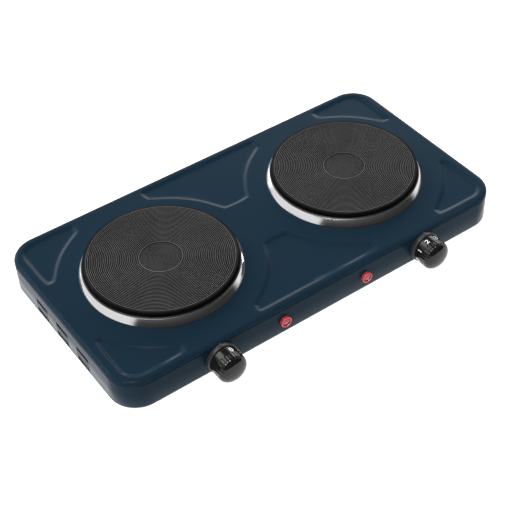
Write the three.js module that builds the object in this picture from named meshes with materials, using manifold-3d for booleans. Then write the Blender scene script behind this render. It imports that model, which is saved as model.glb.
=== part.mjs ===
// Twin-plate electric table cooker.
//
// A pressed-steel housing with an enamelled skin carries two cast-iron hotplates. Each plate
// sits in a bright trim ring and is clamped from below, and has its own thermostat, knob and
// signal lamp. A steel base plate on four rubber feet closes the housing from below.
//
// Units are millimetres, +Z is up and +Y points to the rear. The origin is on the table, under
// the middle of the whole cooker. Left and right are those of the cook, who stands at -Y.

import * as THREE from 'three';
import { mergeVertices } from 'three/addons/utils/BufferGeometryUtils.js';
import Module from 'manifold-3d';

const wasm = await Module();
wasm.setup();

// ---------------------------------------------------------------- driving dimensions

const GAP = 0.3; // air left between two pieces that touch
const SIDES = [-1, 1]; // left and right, front and rear

// Housing
const BODY_LENGTH = 458.4;
const BODY_DEPTH = 234.4;
const BODY_CORNER = 30.25;
const SKIRT_HEIGHT = 34.6;
const TOP_EDGE_RADIUS = 4.2;
const SHEET = 0.8;

// Heights above the table
const SKIRT_BOTTOM = 12;
const DECK = SKIRT_BOTTOM + SKIRT_HEIGHT;

// Embossed panels in the deck, measured from the middle of the housing
const PANEL_DEPTH = 2;
const PANEL_SLOPE = 3.5;
const PANEL_ARC = 102.5; // radius of the edge that runs round a hotplate
const PANEL_FILLET = 5.5;
const PANEL_REAR_EDGE = 110.5;
const CORNER_PANEL = { inner: 152, outer: 220, near: 43, corner: 20 };
const CENTRE_PANEL = { half: 74.5, near: 31 };

// Cooling slots in the two ends of the housing
const VENT = { length: 23, height: 4.4, pitch: 40, count: 3, rows: [17, 29] };

// Hotplates, in heights above the deck
const PLATE_X = 114.4;
const PLATE_Y = -1.5;
const PLATE_RADIUS = 77.5;
const PLATE_TOP = 15;
const PLATE_RIM_BOTTOM = 1.2;
const PLATE_RIM_INNER = 70;
const PLATE_POCKET = 7;
const PLATE_BOSS = 9;
const RECESS_RADIUS = 21;
const RECESS_DEPTH = 0.6;
const RING_OUTER = 82;
const RING_TOP = 10.4;
const RING_THICKNESS = 0.5;
const DECK_HOLE = 71;

// Clamp under each hotplate
const STUD_RADIUS = 3;
const SHIELD_DEPTH = 8.8;
const SHIELD_RADIUS = 69.4;
const CLAMP_THICKNESS = 2;
const TERMINAL_X = 35;
const TERMINAL_HEIGHT = 11.9;
const TERMINAL_PIN = 6; // each pin's distance from the middle of the ceramic terminal

// Controls in the front of the skirt
const CONTROL_X = 125;
const CONTROL_Z = 27;
const BEZEL_RADIUS = 16.6;
const BEZEL_DEPTH = 5.3;
const KNOB_RADIUS = 15.5;
const KNOB_BACK = 5.9;
const KNOB_REACH = 27.3;
const DOME_DEPTH = 7.5;
const SHAFT_RADIUS = 3;
const FIXING_X = 11; // each thermostat screw's distance from the shaft
const THERMOSTAT_REACH = 35; // how far the thermostat's tabs reach in from the front
const TAB_X = 7; // each tab's distance from the middle of the thermostat

// Signal lamps
const LAMP_X = 50;
const LENS_RADIUS = 6;
const LENS_REACH = 4.1;
const LENS_BODY = 4.2;

// Rear cord inlet
const GLAND_REACH = 4.3;
const GLAND_BORE = 3.7;
const GLAND_NECK = 6;

// Base plate and feet
const BASE_BOTTOM = 10.2;
const BASE_HEM = 1.5;
const BASE_INSET = 0.5;
const FOOT_INSET = 30;
const FOOT_RADIUS = 12;
const FOOT_SCREW = 2;

// Mains side
const MAINS_BLOCK_Y = 84;
const MAINS_BLOCK_DEPTH = 18;
const POLE_X = { live: -11, neutral: 0, earth: 11 };
const WAY_X = 1.9; // each wire's distance from the middle of its pole
const EARTH = { x: 42, y: 92, radius: 1.9 };
const LEAD_RADIUS = 1.3;

// Values that follow from the ones above
const BODY_Y = (KNOB_REACH - GLAND_REACH) / 2; // centres the whole cooker on the origin
const FRONT = -BODY_DEPTH / 2;
const REAR = BODY_DEPTH / 2;
const END = BODY_LENGTH / 2;
const BASE_TOP = BASE_BOTTOM + SHEET;
const CLAMP_TOP = -SHIELD_DEPTH - GAP;
const NUT_TOP = CLAMP_TOP - CLAMP_THICKNESS - GAP;
const WAY_Z = BASE_TOP + GAP + 4.5; // height of the wires where they enter the mains block

// ---------------------------------------------------------------- finishes

const FINISH = {
  enamel: { color: 0x24384a, roughness: 0.32, metalness: 0 },
  castIron: { color: 0x3b3b3b, roughness: 0.6, metalness: 0.4 },
  brightSteel: { color: 0xc9cbcd, roughness: 0.15, metalness: 1 },
  zincSteel: { color: 0xb4b7ba, roughness: 0.4, metalness: 0.9 },
  blackPlastic: { color: 0x141414, roughness: 0.12, metalness: 0 },
  greyPlastic: { color: 0x2c2d2e, roughness: 0.5, metalness: 0 },
  rubber: { color: 0x1c1c1c, roughness: 0.85, metalness: 0 },
  ceramic: { color: 0xe4dfd2, roughness: 0.5, metalness: 0 },
  insulation: { color: 0xcfc6b0, roughness: 0.9, metalness: 0 },
  heatingWire: { color: 0x6d6257, roughness: 0.5, metalness: 0.8 },
  redLens: { color: 0xc03a40, roughness: 0.12, metalness: 0 },
  glass: { color: 0xf0d8c8, roughness: 0.05, metalness: 0 },
  brass: { color: 0xb99a4f, roughness: 0.35, metalness: 1 },
  brownSleeve: { color: 0x6b3f24, roughness: 0.6, metalness: 0 },
  blueSleeve: { color: 0x2c5c9c, roughness: 0.6, metalness: 0 },
  whiteSleeve: { color: 0xdcd8cc, roughness: 0.8, metalness: 0 },
  greenSleeve: { color: 0x4c8a3a, roughness: 0.6, metalness: 0 },
};

// ---------------------------------------------------------------- joining and cutting

// Turns a closed geometry into a solid, with shared corners merged and its faces outward.
function toSolid(geometry) {
  const bare = geometry.clone();
  bare.deleteAttribute('normal');
  bare.deleteAttribute('uv');
  const merged = mergeVertices(bare, 1e-4);
  const points = Float32Array.from(merged.attributes.position.array);
  const corners = [];
  for (let i = 0; i < merged.index.count; i += 3) {
    const [a, b, c] = merged.index.array.slice(i, i + 3);
    if (a !== b && b !== c && c !== a) {
      corners.push(a, b, c);
    }
  }
  if (signedVolume(points, corners) < 0) {
    corners.reverse();
  }
  const triVerts = Uint32Array.from(corners);
  return new wasm.Manifold(new wasm.Mesh({ numProp: 3, vertProperties: points, triVerts }));
}

// Six times the volume inside the triangles, positive when their faces point outward.
function signedVolume(points, corners) {
  const [a, b, c] = [new THREE.Vector3(), new THREE.Vector3(), new THREE.Vector3()];
  let sum = 0;
  for (let i = 0; i < corners.length; i += 3) {
    a.fromArray(points, 3 * corners[i]);
    b.fromArray(points, 3 * corners[i + 1]);
    c.fromArray(points, 3 * corners[i + 2]);
    sum += a.dot(b.cross(c));
  }
  return sum;
}

function toGeometry(solid) {
  const { vertProperties, triVerts } = solid.getMesh();
  const geometry = new THREE.BufferGeometry();
  geometry.setAttribute('position', new THREE.BufferAttribute(vertProperties, 3));
  geometry.setIndex(new THREE.BufferAttribute(triVerts, 1));
  const faceted = geometry.toNonIndexed();
  faceted.computeVertexNormals();
  return faceted;
}

function joined(first, ...others) {
  return toGeometry(others.reduce((sum, other) => sum.add(toSolid(other)), toSolid(first)));
}

function cut(base, ...tools) {
  return toGeometry(tools.reduce((rest, tool) => rest.subtract(toSolid(tool)), toSolid(base)));
}

function common(first, second) {
  return toGeometry(toSolid(first).intersect(toSolid(second)));
}

// ---------------------------------------------------------------- basic shapes, along +Z

function block(width, depth, bottom, top, x = 0, y = 0) {
  const geometry = new THREE.BoxGeometry(width, depth, top - bottom);
  return geometry.translate(x, y, (bottom + top) / 2);
}

function cylinder(radius, bottom, top, x = 0, y = 0, segments = 16) {
  const geometry = new THREE.CylinderGeometry(radius, radius, top - bottom, segments);
  return geometry.rotateX(Math.PI / 2).translate(x, y, (bottom + top) / 2);
}

// A body turned round the Z axis from [radius, height] pairs, with its faces outward.
function turned(profile, segments = 24) {
  const points = profile.map(([radius, height]) => new THREE.Vector2(radius, height));
  const lathe = new THREE.LatheGeometry(points, segments).rotateX(Math.PI / 2);
  return toGeometry(toSolid(lathe));
}

// A ring turned round the Z axis: the profile closes on itself.
function turnedRing(profile, segments = 24) {
  return turned([...profile, profile[0]], segments);
}

function prism(shape, bottom, top, curveSegments = 4) {
  const options = { depth: top - bottom, bevelEnabled: false, curveSegments };
  return new THREE.ExtrudeGeometry(shape, options).translate(0, 0, bottom);
}

function roundedRectangle(length, depth, radius) {
  const x = length / 2 - radius;
  const y = depth / 2 - radius;
  const quarter = Math.PI / 2;
  const shape = new THREE.Shape();
  shape.absarc(x, y, radius, 0, quarter);
  shape.absarc(-x, y, radius, quarter, 2 * quarter);
  shape.absarc(-x, -y, radius, 2 * quarter, 3 * quarter);
  shape.absarc(x, -y, radius, 3 * quarter, 4 * quarter);
  shape.closePath();
  return shape;
}

// A straight slot with round ends, along X.
function slot(length, width, x, y) {
  const radius = width / 2;
  const reach = length / 2 - radius;
  const shape = new THREE.Shape();
  shape.absarc(x + reach, y, radius, -Math.PI / 2, Math.PI / 2);
  shape.absarc(x - reach, y, radius, Math.PI / 2, (3 * Math.PI) / 2);
  shape.closePath();
  return shape;
}

// ---------------------------------------------------------------- housing

// The housing's outer form drawn in by inset, with a rounded top edge, open below.
function housingForm(inset, bottom) {
  const edge = TOP_EDGE_RADIUS - inset;
  const outline = roundedRectangle(
    BODY_LENGTH - 2 * inset,
    BODY_DEPTH - 2 * inset,
    BODY_CORNER - inset,
  );
  const top = DECK - inset;
  const form = new THREE.ExtrudeGeometry(outline, {
    depth: top - bottom,
    bevelThickness: edge,
    bevelSize: edge,
    bevelOffset: -edge,
    bevelSegments: 3,
    curveSegments: 4,
  });
  form.translate(0, 0, bottom - edge);
  return cut(form, block(BODY_LENGTH + 2, BODY_DEPTH + 2, bottom - 2 * edge, bottom));
}

// Distance along one axis from a hotplate's centre to the panels' arc, where it lies
// offset away on the other axis.
function arcReach(offset) {
  return Math.sqrt(PANEL_ARC ** 2 - offset ** 2);
}

// A panel outline that starts and ends on an arc round a hotplate. The outline runs through
// the corners, each with its own fillet, and the arc closes it.
function outlineOnArc(centre, corners, shape) {
  const last = corners.length - 1;
  corners.forEach((corner, i) => {
    const before = i > 0 ? corners[i - 1] : arcPoint(centre, corner, corners[last]);
    const after = i < last ? corners[i + 1] : arcPoint(centre, corner, corners[0]);
    const start = corner.at.clone().lerp(before.at, corner.fillet / corner.at.distanceTo(before.at));
    const end = corner.at.clone().lerp(after.at, corner.fillet / corner.at.distanceTo(after.at));
    if (i === 0) {
      shape.moveTo(start.x, start.y);
    } else {
      shape.lineTo(start.x, start.y);
    }
    shape.quadraticCurveTo(corner.at.x, corner.at.y, end.x, end.y);
  });
  return shape;
}

// The point of the panels' arc that lies one fillet from a corner, towards the other end.
function arcPoint(centre, corner, other) {
  const from = Math.atan2(corner.at.y - centre.y, corner.at.x - centre.x);
  const to = Math.atan2(other.at.y - centre.y, other.at.x - centre.x);
  const angle = from + (Math.sign(to - from) * corner.fillet) / PANEL_ARC;
  const at = new THREE.Vector2(Math.cos(angle), Math.sin(angle)).multiplyScalar(PANEL_ARC);
  return { at: at.add(centre) };
}

// Adds the panels' arc from the outline's last point back to a point.
function arcBack(shape, centre, target) {
  const here = shape.currentPoint;
  const from = Math.atan2(here.y - centre.y, here.x - centre.x);
  const to = Math.atan2(target.y - centre.y, target.x - centre.x);
  shape.absarc(centre.x, centre.y, PANEL_ARC, from, to, to < from);
}

function mirrored(shape, signX, signY) {
  const points = shape.getPoints(3).map(({ x, y }) => new THREE.Vector2(signX * x, signY * y));
  return new THREE.Shape(points);
}

// The L-shaped panel in the right rear corner, or its mirror image in another corner.
function cornerPanel(signX, signY) {
  const centre = new THREE.Vector2(PLATE_X, PLATE_Y * signY);
  const { inner, outer, near, corner } = CORNER_PANEL;
  const corners = [
    { at: [inner, centre.y + arcReach(inner - centre.x)], fillet: PANEL_FILLET },
    { at: [inner, PANEL_REAR_EDGE], fillet: PANEL_FILLET },
    { at: [outer, PANEL_REAR_EDGE], fillet: corner },
    { at: [outer, near], fillet: PANEL_FILLET },
    { at: [centre.x + arcReach(near - centre.y), near], fillet: PANEL_FILLET },
  ].map(({ at, fillet }) => ({ at: new THREE.Vector2(...at), fillet }));
  const shape = outlineOnArc(centre, corners, new THREE.Shape());
  const first = corners[0];
  arcBack(shape, centre, arcPoint(centre, first, corners.at(-1)).at);
  return mirrored(shape, signX, signY);
}

// The panel between the two hotplates at the rear, or its mirror image at the front.
function centrePanel(signY) {
  const centre = new THREE.Vector2(PLATE_X, PLATE_Y * signY);
  const { half, near } = CENTRE_PANEL;
  const corners = [
    { at: [centre.x - arcReach(near - centre.y), near], fillet: PANEL_FILLET },
    { at: [half, centre.y + arcReach(centre.x - half)], fillet: PANEL_FILLET },
  ].map(({ at, fillet }) => ({ at: new THREE.Vector2(...at), fillet }));
  const inner = arcPoint(centre, corners[0], corners[1]).at;
  const outer = arcPoint(centre, corners[1], corners[0]).at;
  const shape = new THREE.Shape();
  shape.moveTo(0, near);
  shape.lineTo(corners[0].at.x - PANEL_FILLET, near);
  shape.quadraticCurveTo(corners[0].at.x, near, inner.x, inner.y);
  arcBack(shape, centre, outer);
  shape.quadraticCurveTo(corners[1].at.x, corners[1].at.y, half, corners[1].at.y + PANEL_FILLET);
  shape.lineTo(half, PANEL_REAR_EDGE - PANEL_FILLET);
  shape.quadraticCurveTo(half, PANEL_REAR_EDGE, half - PANEL_FILLET, PANEL_REAR_EDGE);
  shape.lineTo(0, PANEL_REAR_EDGE);
  const right = shape.getPoints(3);
  const left = right.slice(1, -1).reverse().map(({ x, y }) => new THREE.Vector2(-x, y));
  return mirrored(new THREE.Shape([...right, ...left]), 1, signY);
}

// A panel's hollow, which slopes in towards its floor. It is grown sideways and set lower
// to give the sheet's underside.
function panelHollow(outline, grown, lowered) {
  const hollow = new THREE.ExtrudeGeometry(outline, {
    depth: 2 * PANEL_DEPTH,
    bevelThickness: PANEL_DEPTH,
    bevelSize: PANEL_SLOPE,
    bevelOffset: grown - PANEL_SLOPE,
    bevelSegments: 1,
  });
  return hollow.translate(0, 0, DECK - lowered);
}

function housing() {
  const outlines = [centrePanel(-1), centrePanel(1)];
  for (const signX of SIDES) {
    for (const signY of SIDES) {
      outlines.push(cornerPanel(signX, signY));
    }
  }
  const hollows = outlines.map((outline) => panelHollow(outline, 0, 0));
  const undersides = outlines.map((outline) => panelHollow(outline, SHEET / 2, SHEET));
  const cavity = cut(housingForm(SHEET, SKIRT_BOTTOM - 1), ...undersides);
  const shell = cut(housingForm(0, SKIRT_BOTTOM), ...hollows, cavity);
  const tabs = SIDES.flatMap((signX) => SIDES.map((signY) => cornerTab(signX, signY)));
  return cut(joined(shell, ...tabs), ...housingHoles());
}

// A tab welded inside each corner of the skirt, which a foot screw threads into.
function cornerTab(signX, signY) {
  const size = FOOT_INSET + 10;
  const thickness = 1.5;
  const x = signX * (END - size / 2);
  const y = signY * (REAR - size / 2);
  const square = block(size, size, SKIRT_BOTTOM, SKIRT_BOTTOM + thickness, x, y);
  const inset = SHEET / 2;
  const limits = roundedRectangle(
    BODY_LENGTH - 2 * inset,
    BODY_DEPTH - 2 * inset,
    BODY_CORNER - inset,
  );
  return common(square, prism(limits, SKIRT_BOTTOM - 1, SKIRT_BOTTOM + thickness + 1));
}

function housingHoles() {
  const holes = [];
  for (const side of SIDES) {
    holes.push(cylinder(DECK_HOLE, DECK - 2, DECK + 2, side * PLATE_X, PLATE_Y, 36));
    holes.push(frontHole(SHAFT_RADIUS + 2.2, side * CONTROL_X));
    holes.push(frontHole(2, side * CONTROL_X - FIXING_X));
    holes.push(frontHole(2, side * CONTROL_X + FIXING_X));
    holes.push(frontHole(LENS_BODY + GAP, side * LAMP_X));
    holes.push(...ventHoles(side));
    for (const signY of SIDES) {
      const x = side * (END - FOOT_INSET);
      const y = signY * (REAR - FOOT_INSET);
      holes.push(cylinder(FOOT_SCREW + GAP, SKIRT_BOTTOM - 1, SKIRT_BOTTOM + 3, x, y, 12));
    }
  }
  const inlet = cylinder(GLAND_NECK + GAP, -3, 3, 0, 0, 20).rotateX(Math.PI / 2);
  holes.push(inlet.translate(0, REAR, CONTROL_Z));
  return holes;
}

function frontHole(radius, x) {
  return cylinder(radius, -3, 3, 0, 0, 14).rotateX(Math.PI / 2).translate(x, FRONT, CONTROL_Z);
}

// The slots through one end of the skirt, in two rows.
function ventHoles(side) {
  const { length, height, pitch, count, rows } = VENT;
  const holes = [];
  for (const row of rows) {
    for (let i = 0; i < count; i += 1) {
      const y = (i - (count - 1) / 2) * pitch;
      const hole = prism(slot(length, height, y, row), -3, 3, 2);
      hole.rotateX(Math.PI / 2).rotateZ(Math.PI / 2);
      holes.push(hole.translate(side * END, 0, 0));
    }
  }
  return holes;
}

// ---------------------------------------------------------------- base plate and feet

// The bottom cover: thin sheet with a hemmed edge, which shows below the skirt.
function basePlate() {
  const inset = BASE_INSET;
  const outline = (drawn) => roundedRectangle(
    BODY_LENGTH - 2 * drawn,
    BODY_DEPTH - 2 * drawn,
    BODY_CORNER - drawn,
  );
  const hemmed = prism(outline(inset), BASE_BOTTOM, BASE_BOTTOM + BASE_HEM);
  const pocket = prism(outline(inset + 7), BASE_TOP, BASE_BOTTOM + BASE_HEM + 1);
  const holes = [cylinder(EARTH.radius + GAP, BASE_BOTTOM - 1, BASE_TOP + 1, EARTH.x, EARTH.y, 12)];
  for (const signX of SIDES) {
    for (const signY of SIDES) {
      const x = signX * (END - FOOT_INSET);
      const y = signY * (REAR - FOOT_INSET);
      holes.push(cylinder(FOOT_SCREW + 2 * GAP, BASE_BOTTOM - 1, BASE_TOP + 1, x, y, 12));
    }
    for (let row = -2; row <= 2; row += 1) {
      const shape = slot(64, 5, signX * PLATE_X, PLATE_Y + 16 * row);
      holes.push(prism(shape, BASE_BOTTOM - 1, BASE_TOP + 1, 2));
    }
  }
  return cut(hemmed, pocket, ...holes);
}

function foot() {
  const top = BASE_BOTTOM - GAP;
  return turnedRing([
    [5, 0],
    [FOOT_RADIUS - 2, 0],
    [FOOT_RADIUS - 1.2, 1],
    [FOOT_RADIUS, top],
    [FOOT_SCREW + GAP, top],
    [FOOT_SCREW + GAP, 5],
    [5, 5],
  ], 16);
}

function footScrew() {
  return turned([
    [0, 2.1],
    [3.4, 2.1],
    [4.2, 3.2],
    [4.2, 5 - GAP],
    [FOOT_SCREW, 5 - GAP],
    [FOOT_SCREW, 16],
    [0, 16],
  ], 12);
}

// ---------------------------------------------------------------- hotplate and its clamp

function hotplate() {
  return turned([
    [0, PLATE_TOP - RECESS_DEPTH],
    [RECESS_RADIUS - RECESS_DEPTH, PLATE_TOP - RECESS_DEPTH],
    [RECESS_RADIUS, PLATE_TOP],
    [PLATE_RADIUS - 1, PLATE_TOP],
    [PLATE_RADIUS, PLATE_TOP - 1],
    [PLATE_RADIUS, PLATE_RIM_BOTTOM],
    [PLATE_RIM_INNER, PLATE_RIM_BOTTOM],
    [PLATE_RIM_INNER, PLATE_POCKET],
    [PLATE_BOSS, PLATE_POCKET],
    [PLATE_BOSS, PLATE_RIM_BOTTOM],
    [STUD_RADIUS + GAP, PLATE_RIM_BOTTOM],
    [STUD_RADIUS + GAP, PLATE_POCKET + 1],
    [0, PLATE_POCKET + 1],
  ], 36);
}

// The bright collar: a flange between plate and deck, and a cone that rises to the plate.
function trimRing() {
  const flangeTop = GAP + RING_THICKNESS;
  const lip = PLATE_RADIUS + GAP;
  return turnedRing([
    [DECK_HOLE + 2, GAP],
    [RING_OUTER, GAP],
    [RING_OUTER, flangeTop],
    [lip + RING_THICKNESS, RING_TOP],
    [lip, RING_TOP],
    [RING_OUTER - 2 * RING_THICKNESS, flangeTop],
    [DECK_HOLE + 2, flangeTop],
  ], 36);
}

// The centre line of the heating element, a flat spiral.
class Spiral extends THREE.Curve {
  constructor(inner, outer, turns, height) {
    super();
    Object.assign(this, { inner, outer, turns, height });
  }

  getPoint(t, target = new THREE.Vector3()) {
    const radius = THREE.MathUtils.lerp(this.inner, this.outer, t);
    const angle = 2 * Math.PI * this.turns * t;
    return target.set(radius * Math.cos(angle), radius * Math.sin(angle), this.height);
  }
}

function tube(path, radius, steps, sides) {
  const points = Array.from({ length: sides }, (unused, i) => {
    const angle = (2 * Math.PI * i) / sides;
    return new THREE.Vector2(radius * Math.cos(angle), radius * Math.sin(angle));
  });
  return new THREE.ExtrudeGeometry(new THREE.Shape(points), { extrudePath: path, steps });
}

function heatingCoil() {
  return tube(new Spiral(17, 64, 2.5, 4.4), 2, 36, 5);
}

function insulationDisc() {
  return turnedRing([
    [PLATE_BOSS + 1, 0.6],
    [SHIELD_RADIUS - SHEET - 0.4, 0.6],
    [SHIELD_RADIUS - SHEET - 0.4, 2],
    [PLATE_BOSS + 1, 2],
  ], 24);
}

// The steel dish that closes the plate from below.
function heatShield() {
  const floor = SHIELD_RADIUS - 8;
  const dish = turnedRing([
    [STUD_RADIUS + 1, -SHIELD_DEPTH],
    [floor, -SHIELD_DEPTH],
    [SHIELD_RADIUS, -1],
    [SHIELD_RADIUS, 1],
    [SHIELD_RADIUS - SHEET, 1],
    [SHIELD_RADIUS - SHEET, -0.7],
    [floor - SHEET / 2, SHEET - SHIELD_DEPTH],
    [STUD_RADIUS + 1, SHEET - SHIELD_DEPTH],
  ], 24);
  return cut(dish, cylinder(4.3, -SHIELD_DEPTH - 1, -SHIELD_DEPTH + 2, TERMINAL_X, 0, 12));
}

// The bar that pulls the plate down on the deck, with its two ends under the deck.
function clampBracket() {
  const top = CLAMP_TOP;
  const bottom = top - CLAMP_THICKNESS;
  const endTop = -SHEET - GAP;
  const endBottom = endTop - CLAMP_THICKNESS;
  const half = [
    [84, endTop],
    [84, endBottom],
    [73.9, endBottom],
    [65.4, bottom],
  ];
  const halfTop = [
    [64.5, top],
    [73, endTop],
  ];
  const flip = (pairs) => pairs.map(([y, z]) => [-y, z]).reverse();
  const points = [...halfTop, ...half, ...flip(half), ...flip(halfTop)];
  const shape = new THREE.Shape(points.map(([y, z]) => new THREE.Vector2(y, z)));
  const bar = prism(shape, -10, 10);
  bar.rotateX(Math.PI / 2).rotateZ(Math.PI / 2);
  return cut(bar, cylinder(STUD_RADIUS + GAP, bottom - 1, top + 1));
}

function centreStud() {
  return cylinder(STUD_RADIUS, NUT_TOP - 9, PLATE_POCKET + 1 - GAP, 0, 0, 12);
}

function studNut() {
  const across = 5.77;
  const hexagon = cylinder(across, NUT_TOP - 5, NUT_TOP, 0, 0, 6);
  return cut(hexagon, cylinder(STUD_RADIUS + GAP, NUT_TOP - 6, NUT_TOP + 1, 0, 0, 12));
}

// The porcelain block that brings the heating element's two ends out of the dish.
function ceramicTerminal() {
  const top = -SHIELD_DEPTH - GAP;
  const bottom = top - TERMINAL_HEIGHT;
  const body = block(14, 24, bottom, top, TERMINAL_X);
  const neck = cylinder(4, top - 1, -2, TERMINAL_X, 0, 12);
  const pins = SIDES.map((side) => {
    return cylinder(LEAD_RADIUS + 0.6, bottom - 1, bottom + 6, TERMINAL_X, side * TERMINAL_PIN, 8);
  });
  return cut(joined(body, neck), ...pins);
}

// ---------------------------------------------------------------- controls
// These are drawn with +Z out of the front of the skirt and +Y up, round the knob's axis.

function knobBezel() {
  const cup = turnedRing([
    [SHAFT_RADIUS + 2, 3.3],
    [BEZEL_RADIUS - 1.6, 3.3],
    [BEZEL_RADIUS - 1.6, GAP],
    [BEZEL_RADIUS, GAP],
    [BEZEL_RADIUS, BEZEL_DEPTH - 0.6],
    [BEZEL_RADIUS - 0.6, BEZEL_DEPTH],
    [SHAFT_RADIUS + 2, BEZEL_DEPTH],
  ], 24);
  return joined(cup, block(1.4, 1.4, GAP + 1, BEZEL_DEPTH, 0, BEZEL_RADIUS + 0.2));
}

function knob() {
  const shoulder = KNOB_REACH - DOME_DEPTH;
  const hub = SHAFT_RADIUS + GAP + 0.1;
  const steps = 4;
  const dome = Array.from({ length: steps + 1 }, (unused, i) => {
    const angle = (i / steps) * (Math.PI / 2);
    const radius = i === steps ? 0 : KNOB_RADIUS * Math.cos(angle);
    return [radius, shoulder + DOME_DEPTH * Math.sin(angle)];
  });
  return turned([
    [0, 18.4],
    [hub, 18.4],
    [hub, KNOB_BACK + 1],
    [hub + 2.8, KNOB_BACK + 1],
    [hub + 2.8, 17],
    [KNOB_RADIUS - 2.2, 17],
    [KNOB_RADIUS - 2.2, KNOB_BACK],
    [KNOB_RADIUS - 0.6, KNOB_BACK],
    [KNOB_RADIUS, KNOB_BACK + 0.6],
    ...dome,
  ], 24);
}

// The thermostat's spindle, with a flat for the knob.
function shaft() {
  const rod = cylinder(SHAFT_RADIUS, -13.6, 18.1, 0, 0, 14);
  return cut(rod, block(8, 4, 8, 19, 0, 1.6 + 2));
}

// The leaf that grips the spindle's flat inside the knob.
function knobSpring() {
  return block(3.2, 0.5, 8.5, 17.5, 0, 2.25);
}

function thermostatBracket() {
  const plate = block(34, 24, -2.3, -SHEET - GAP);
  const holes = SIDES.map((side) => cylinder(1.8, -4, 0, side * FIXING_X, 0, 10));
  return cut(plate, cylinder(SHAFT_RADIUS + 1.5, -4, 0), ...holes);
}

function thermostat() {
  const front = -2.3 - GAP;
  const body = block(30, 24, -22, front);
  const step = block(24, 18, -28, -21);
  const tabs = SIDES.map((side) => block(0.8, 6.3, -THERMOSTAT_REACH, -27, side * TAB_X));
  const holes = SIDES.map((side) => cylinder(1.8, -6.6, 0, side * FIXING_X, 0, 10));
  const bore = cylinder(SHAFT_RADIUS + 0.4, -14, 0, 0, 0, 14);
  return cut(joined(body, step, ...tabs), bore, ...holes);
}

function thermostatScrew() {
  return turned([
    [0, -6.3],
    [1.4, -6.3],
    [1.4, GAP],
    [2.8, GAP],
    [2.8, 1.2],
    [1.8, 2.1],
    [0, 2.1],
  ], 10);
}

// ---------------------------------------------------------------- signal lamps
// These too are drawn with +Z out of the front of the skirt.

function indicatorLens() {
  return turned([
    [0, 1],
    [LENS_BODY - 1.1, 1],
    [LENS_BODY - 1.1, -9],
    [LENS_BODY, -9],
    [LENS_BODY, GAP],
    [LENS_RADIUS, GAP],
    [LENS_RADIUS, LENS_REACH - 1.3],
    [LENS_RADIUS - 0.6, LENS_REACH - 0.3],
    [LENS_RADIUS - 1.6, LENS_REACH],
    [0, LENS_REACH],
  ], 16);
}

function neonLamp() {
  return turned([
    [0, -12],
    [2.2, -12],
    [2.5, -11],
    [2.5, -1.5],
    [1.5, -0.2],
    [0, 0.2],
  ], 10);
}

function lensClip() {
  const back = -SHEET - GAP - 0.6;
  const ring = cylinder(8, back, back + 0.6, 0, 0, 12);
  return cut(ring, cylinder(LENS_BODY + GAP, back - 1, back + 2, 0, 0, 12));
}

// ---------------------------------------------------------------- mains side

// The bush in the rear of the skirt that the mains cord enters by, with +Z to the rear.
function cordGland() {
  const wall = -SHEET - GAP;
  return turnedRing([
    [GLAND_BORE, -8],
    [GLAND_BORE + 1.5, -8],
    [GLAND_NECK + 1.6, wall - 2],
    [GLAND_NECK + 1.6, wall],
    [GLAND_NECK, wall],
    [GLAND_NECK, GAP],
    [GLAND_NECK + 3, GAP],
    [GLAND_NECK + 3, GLAND_REACH - 1.6],
    [GLAND_NECK + 1.4, GLAND_REACH],
    [GLAND_BORE, GLAND_REACH],
  ], 16);
}

// The three-pole block on the base plate. Each pole has two clamp screws' wells on top and
// room for two wires in front.
function mainsBlock() {
  const bottom = BASE_TOP + GAP;
  const body = block(36, MAINS_BLOCK_DEPTH, bottom, bottom + 13);
  const wells = [];
  for (const pole of Object.values(POLE_X)) {
    wells.push(cylinder(2.4, bottom + 8, bottom + 14, pole, 4.5, 6));
    wells.push(cylinder(2.4, bottom + 8, bottom + 14, pole, -4.5, 6));
    for (const side of SIDES) {
      const way = cylinder(LEAD_RADIUS + 0.6, -4, 4, 0, 0, 6).rotateX(Math.PI / 2);
      wells.push(way.translate(pole + side * WAY_X, -MAINS_BLOCK_DEPTH / 2, WAY_Z));
    }
  }
  return cut(body, ...wells);
}

function earthScrew() {
  const seat = BASE_TOP + GAP;
  return turned([
    [0, 7],
    [EARTH.radius, 7],
    [EARTH.radius, seat],
    [4, seat],
    [4, seat + 1.6],
    [2.6, seat + 2.6],
    [0, seat + 2.6],
  ], 12);
}

// A sleeved wire through hand-placed points.
function lead(points, steps) {
  const path = new THREE.CatmullRomCurve3(points.map((point) => new THREE.Vector3(...point)));
  path.curveType = 'centripetal';
  return tube(path, LEAD_RADIUS, steps, 5);
}

// ---------------------------------------------------------------- assembly

function add(parent, name, geometry, finish) {
  const mesh = new THREE.Mesh(geometry, new THREE.MeshStandardMaterial(finish));
  mesh.name = name;
  parent.add(mesh);
  return mesh;
}

function addFeet(parent) {
  for (const [row, signY] of [['front', -1], ['rear', 1]]) {
    for (const [side, signX] of [['left', -1], ['right', 1]]) {
      const corner = new THREE.Group();
      corner.position.set(signX * (END - FOOT_INSET), signY * (REAR - FOOT_INSET), 0);
      parent.add(corner);
      add(corner, `foot_${row}_${side}`, foot(), FINISH.rubber);
      add(corner, `foot_screw_${row}_${side}`, footScrew(), FINISH.zincSteel);
    }
  }
}

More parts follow.
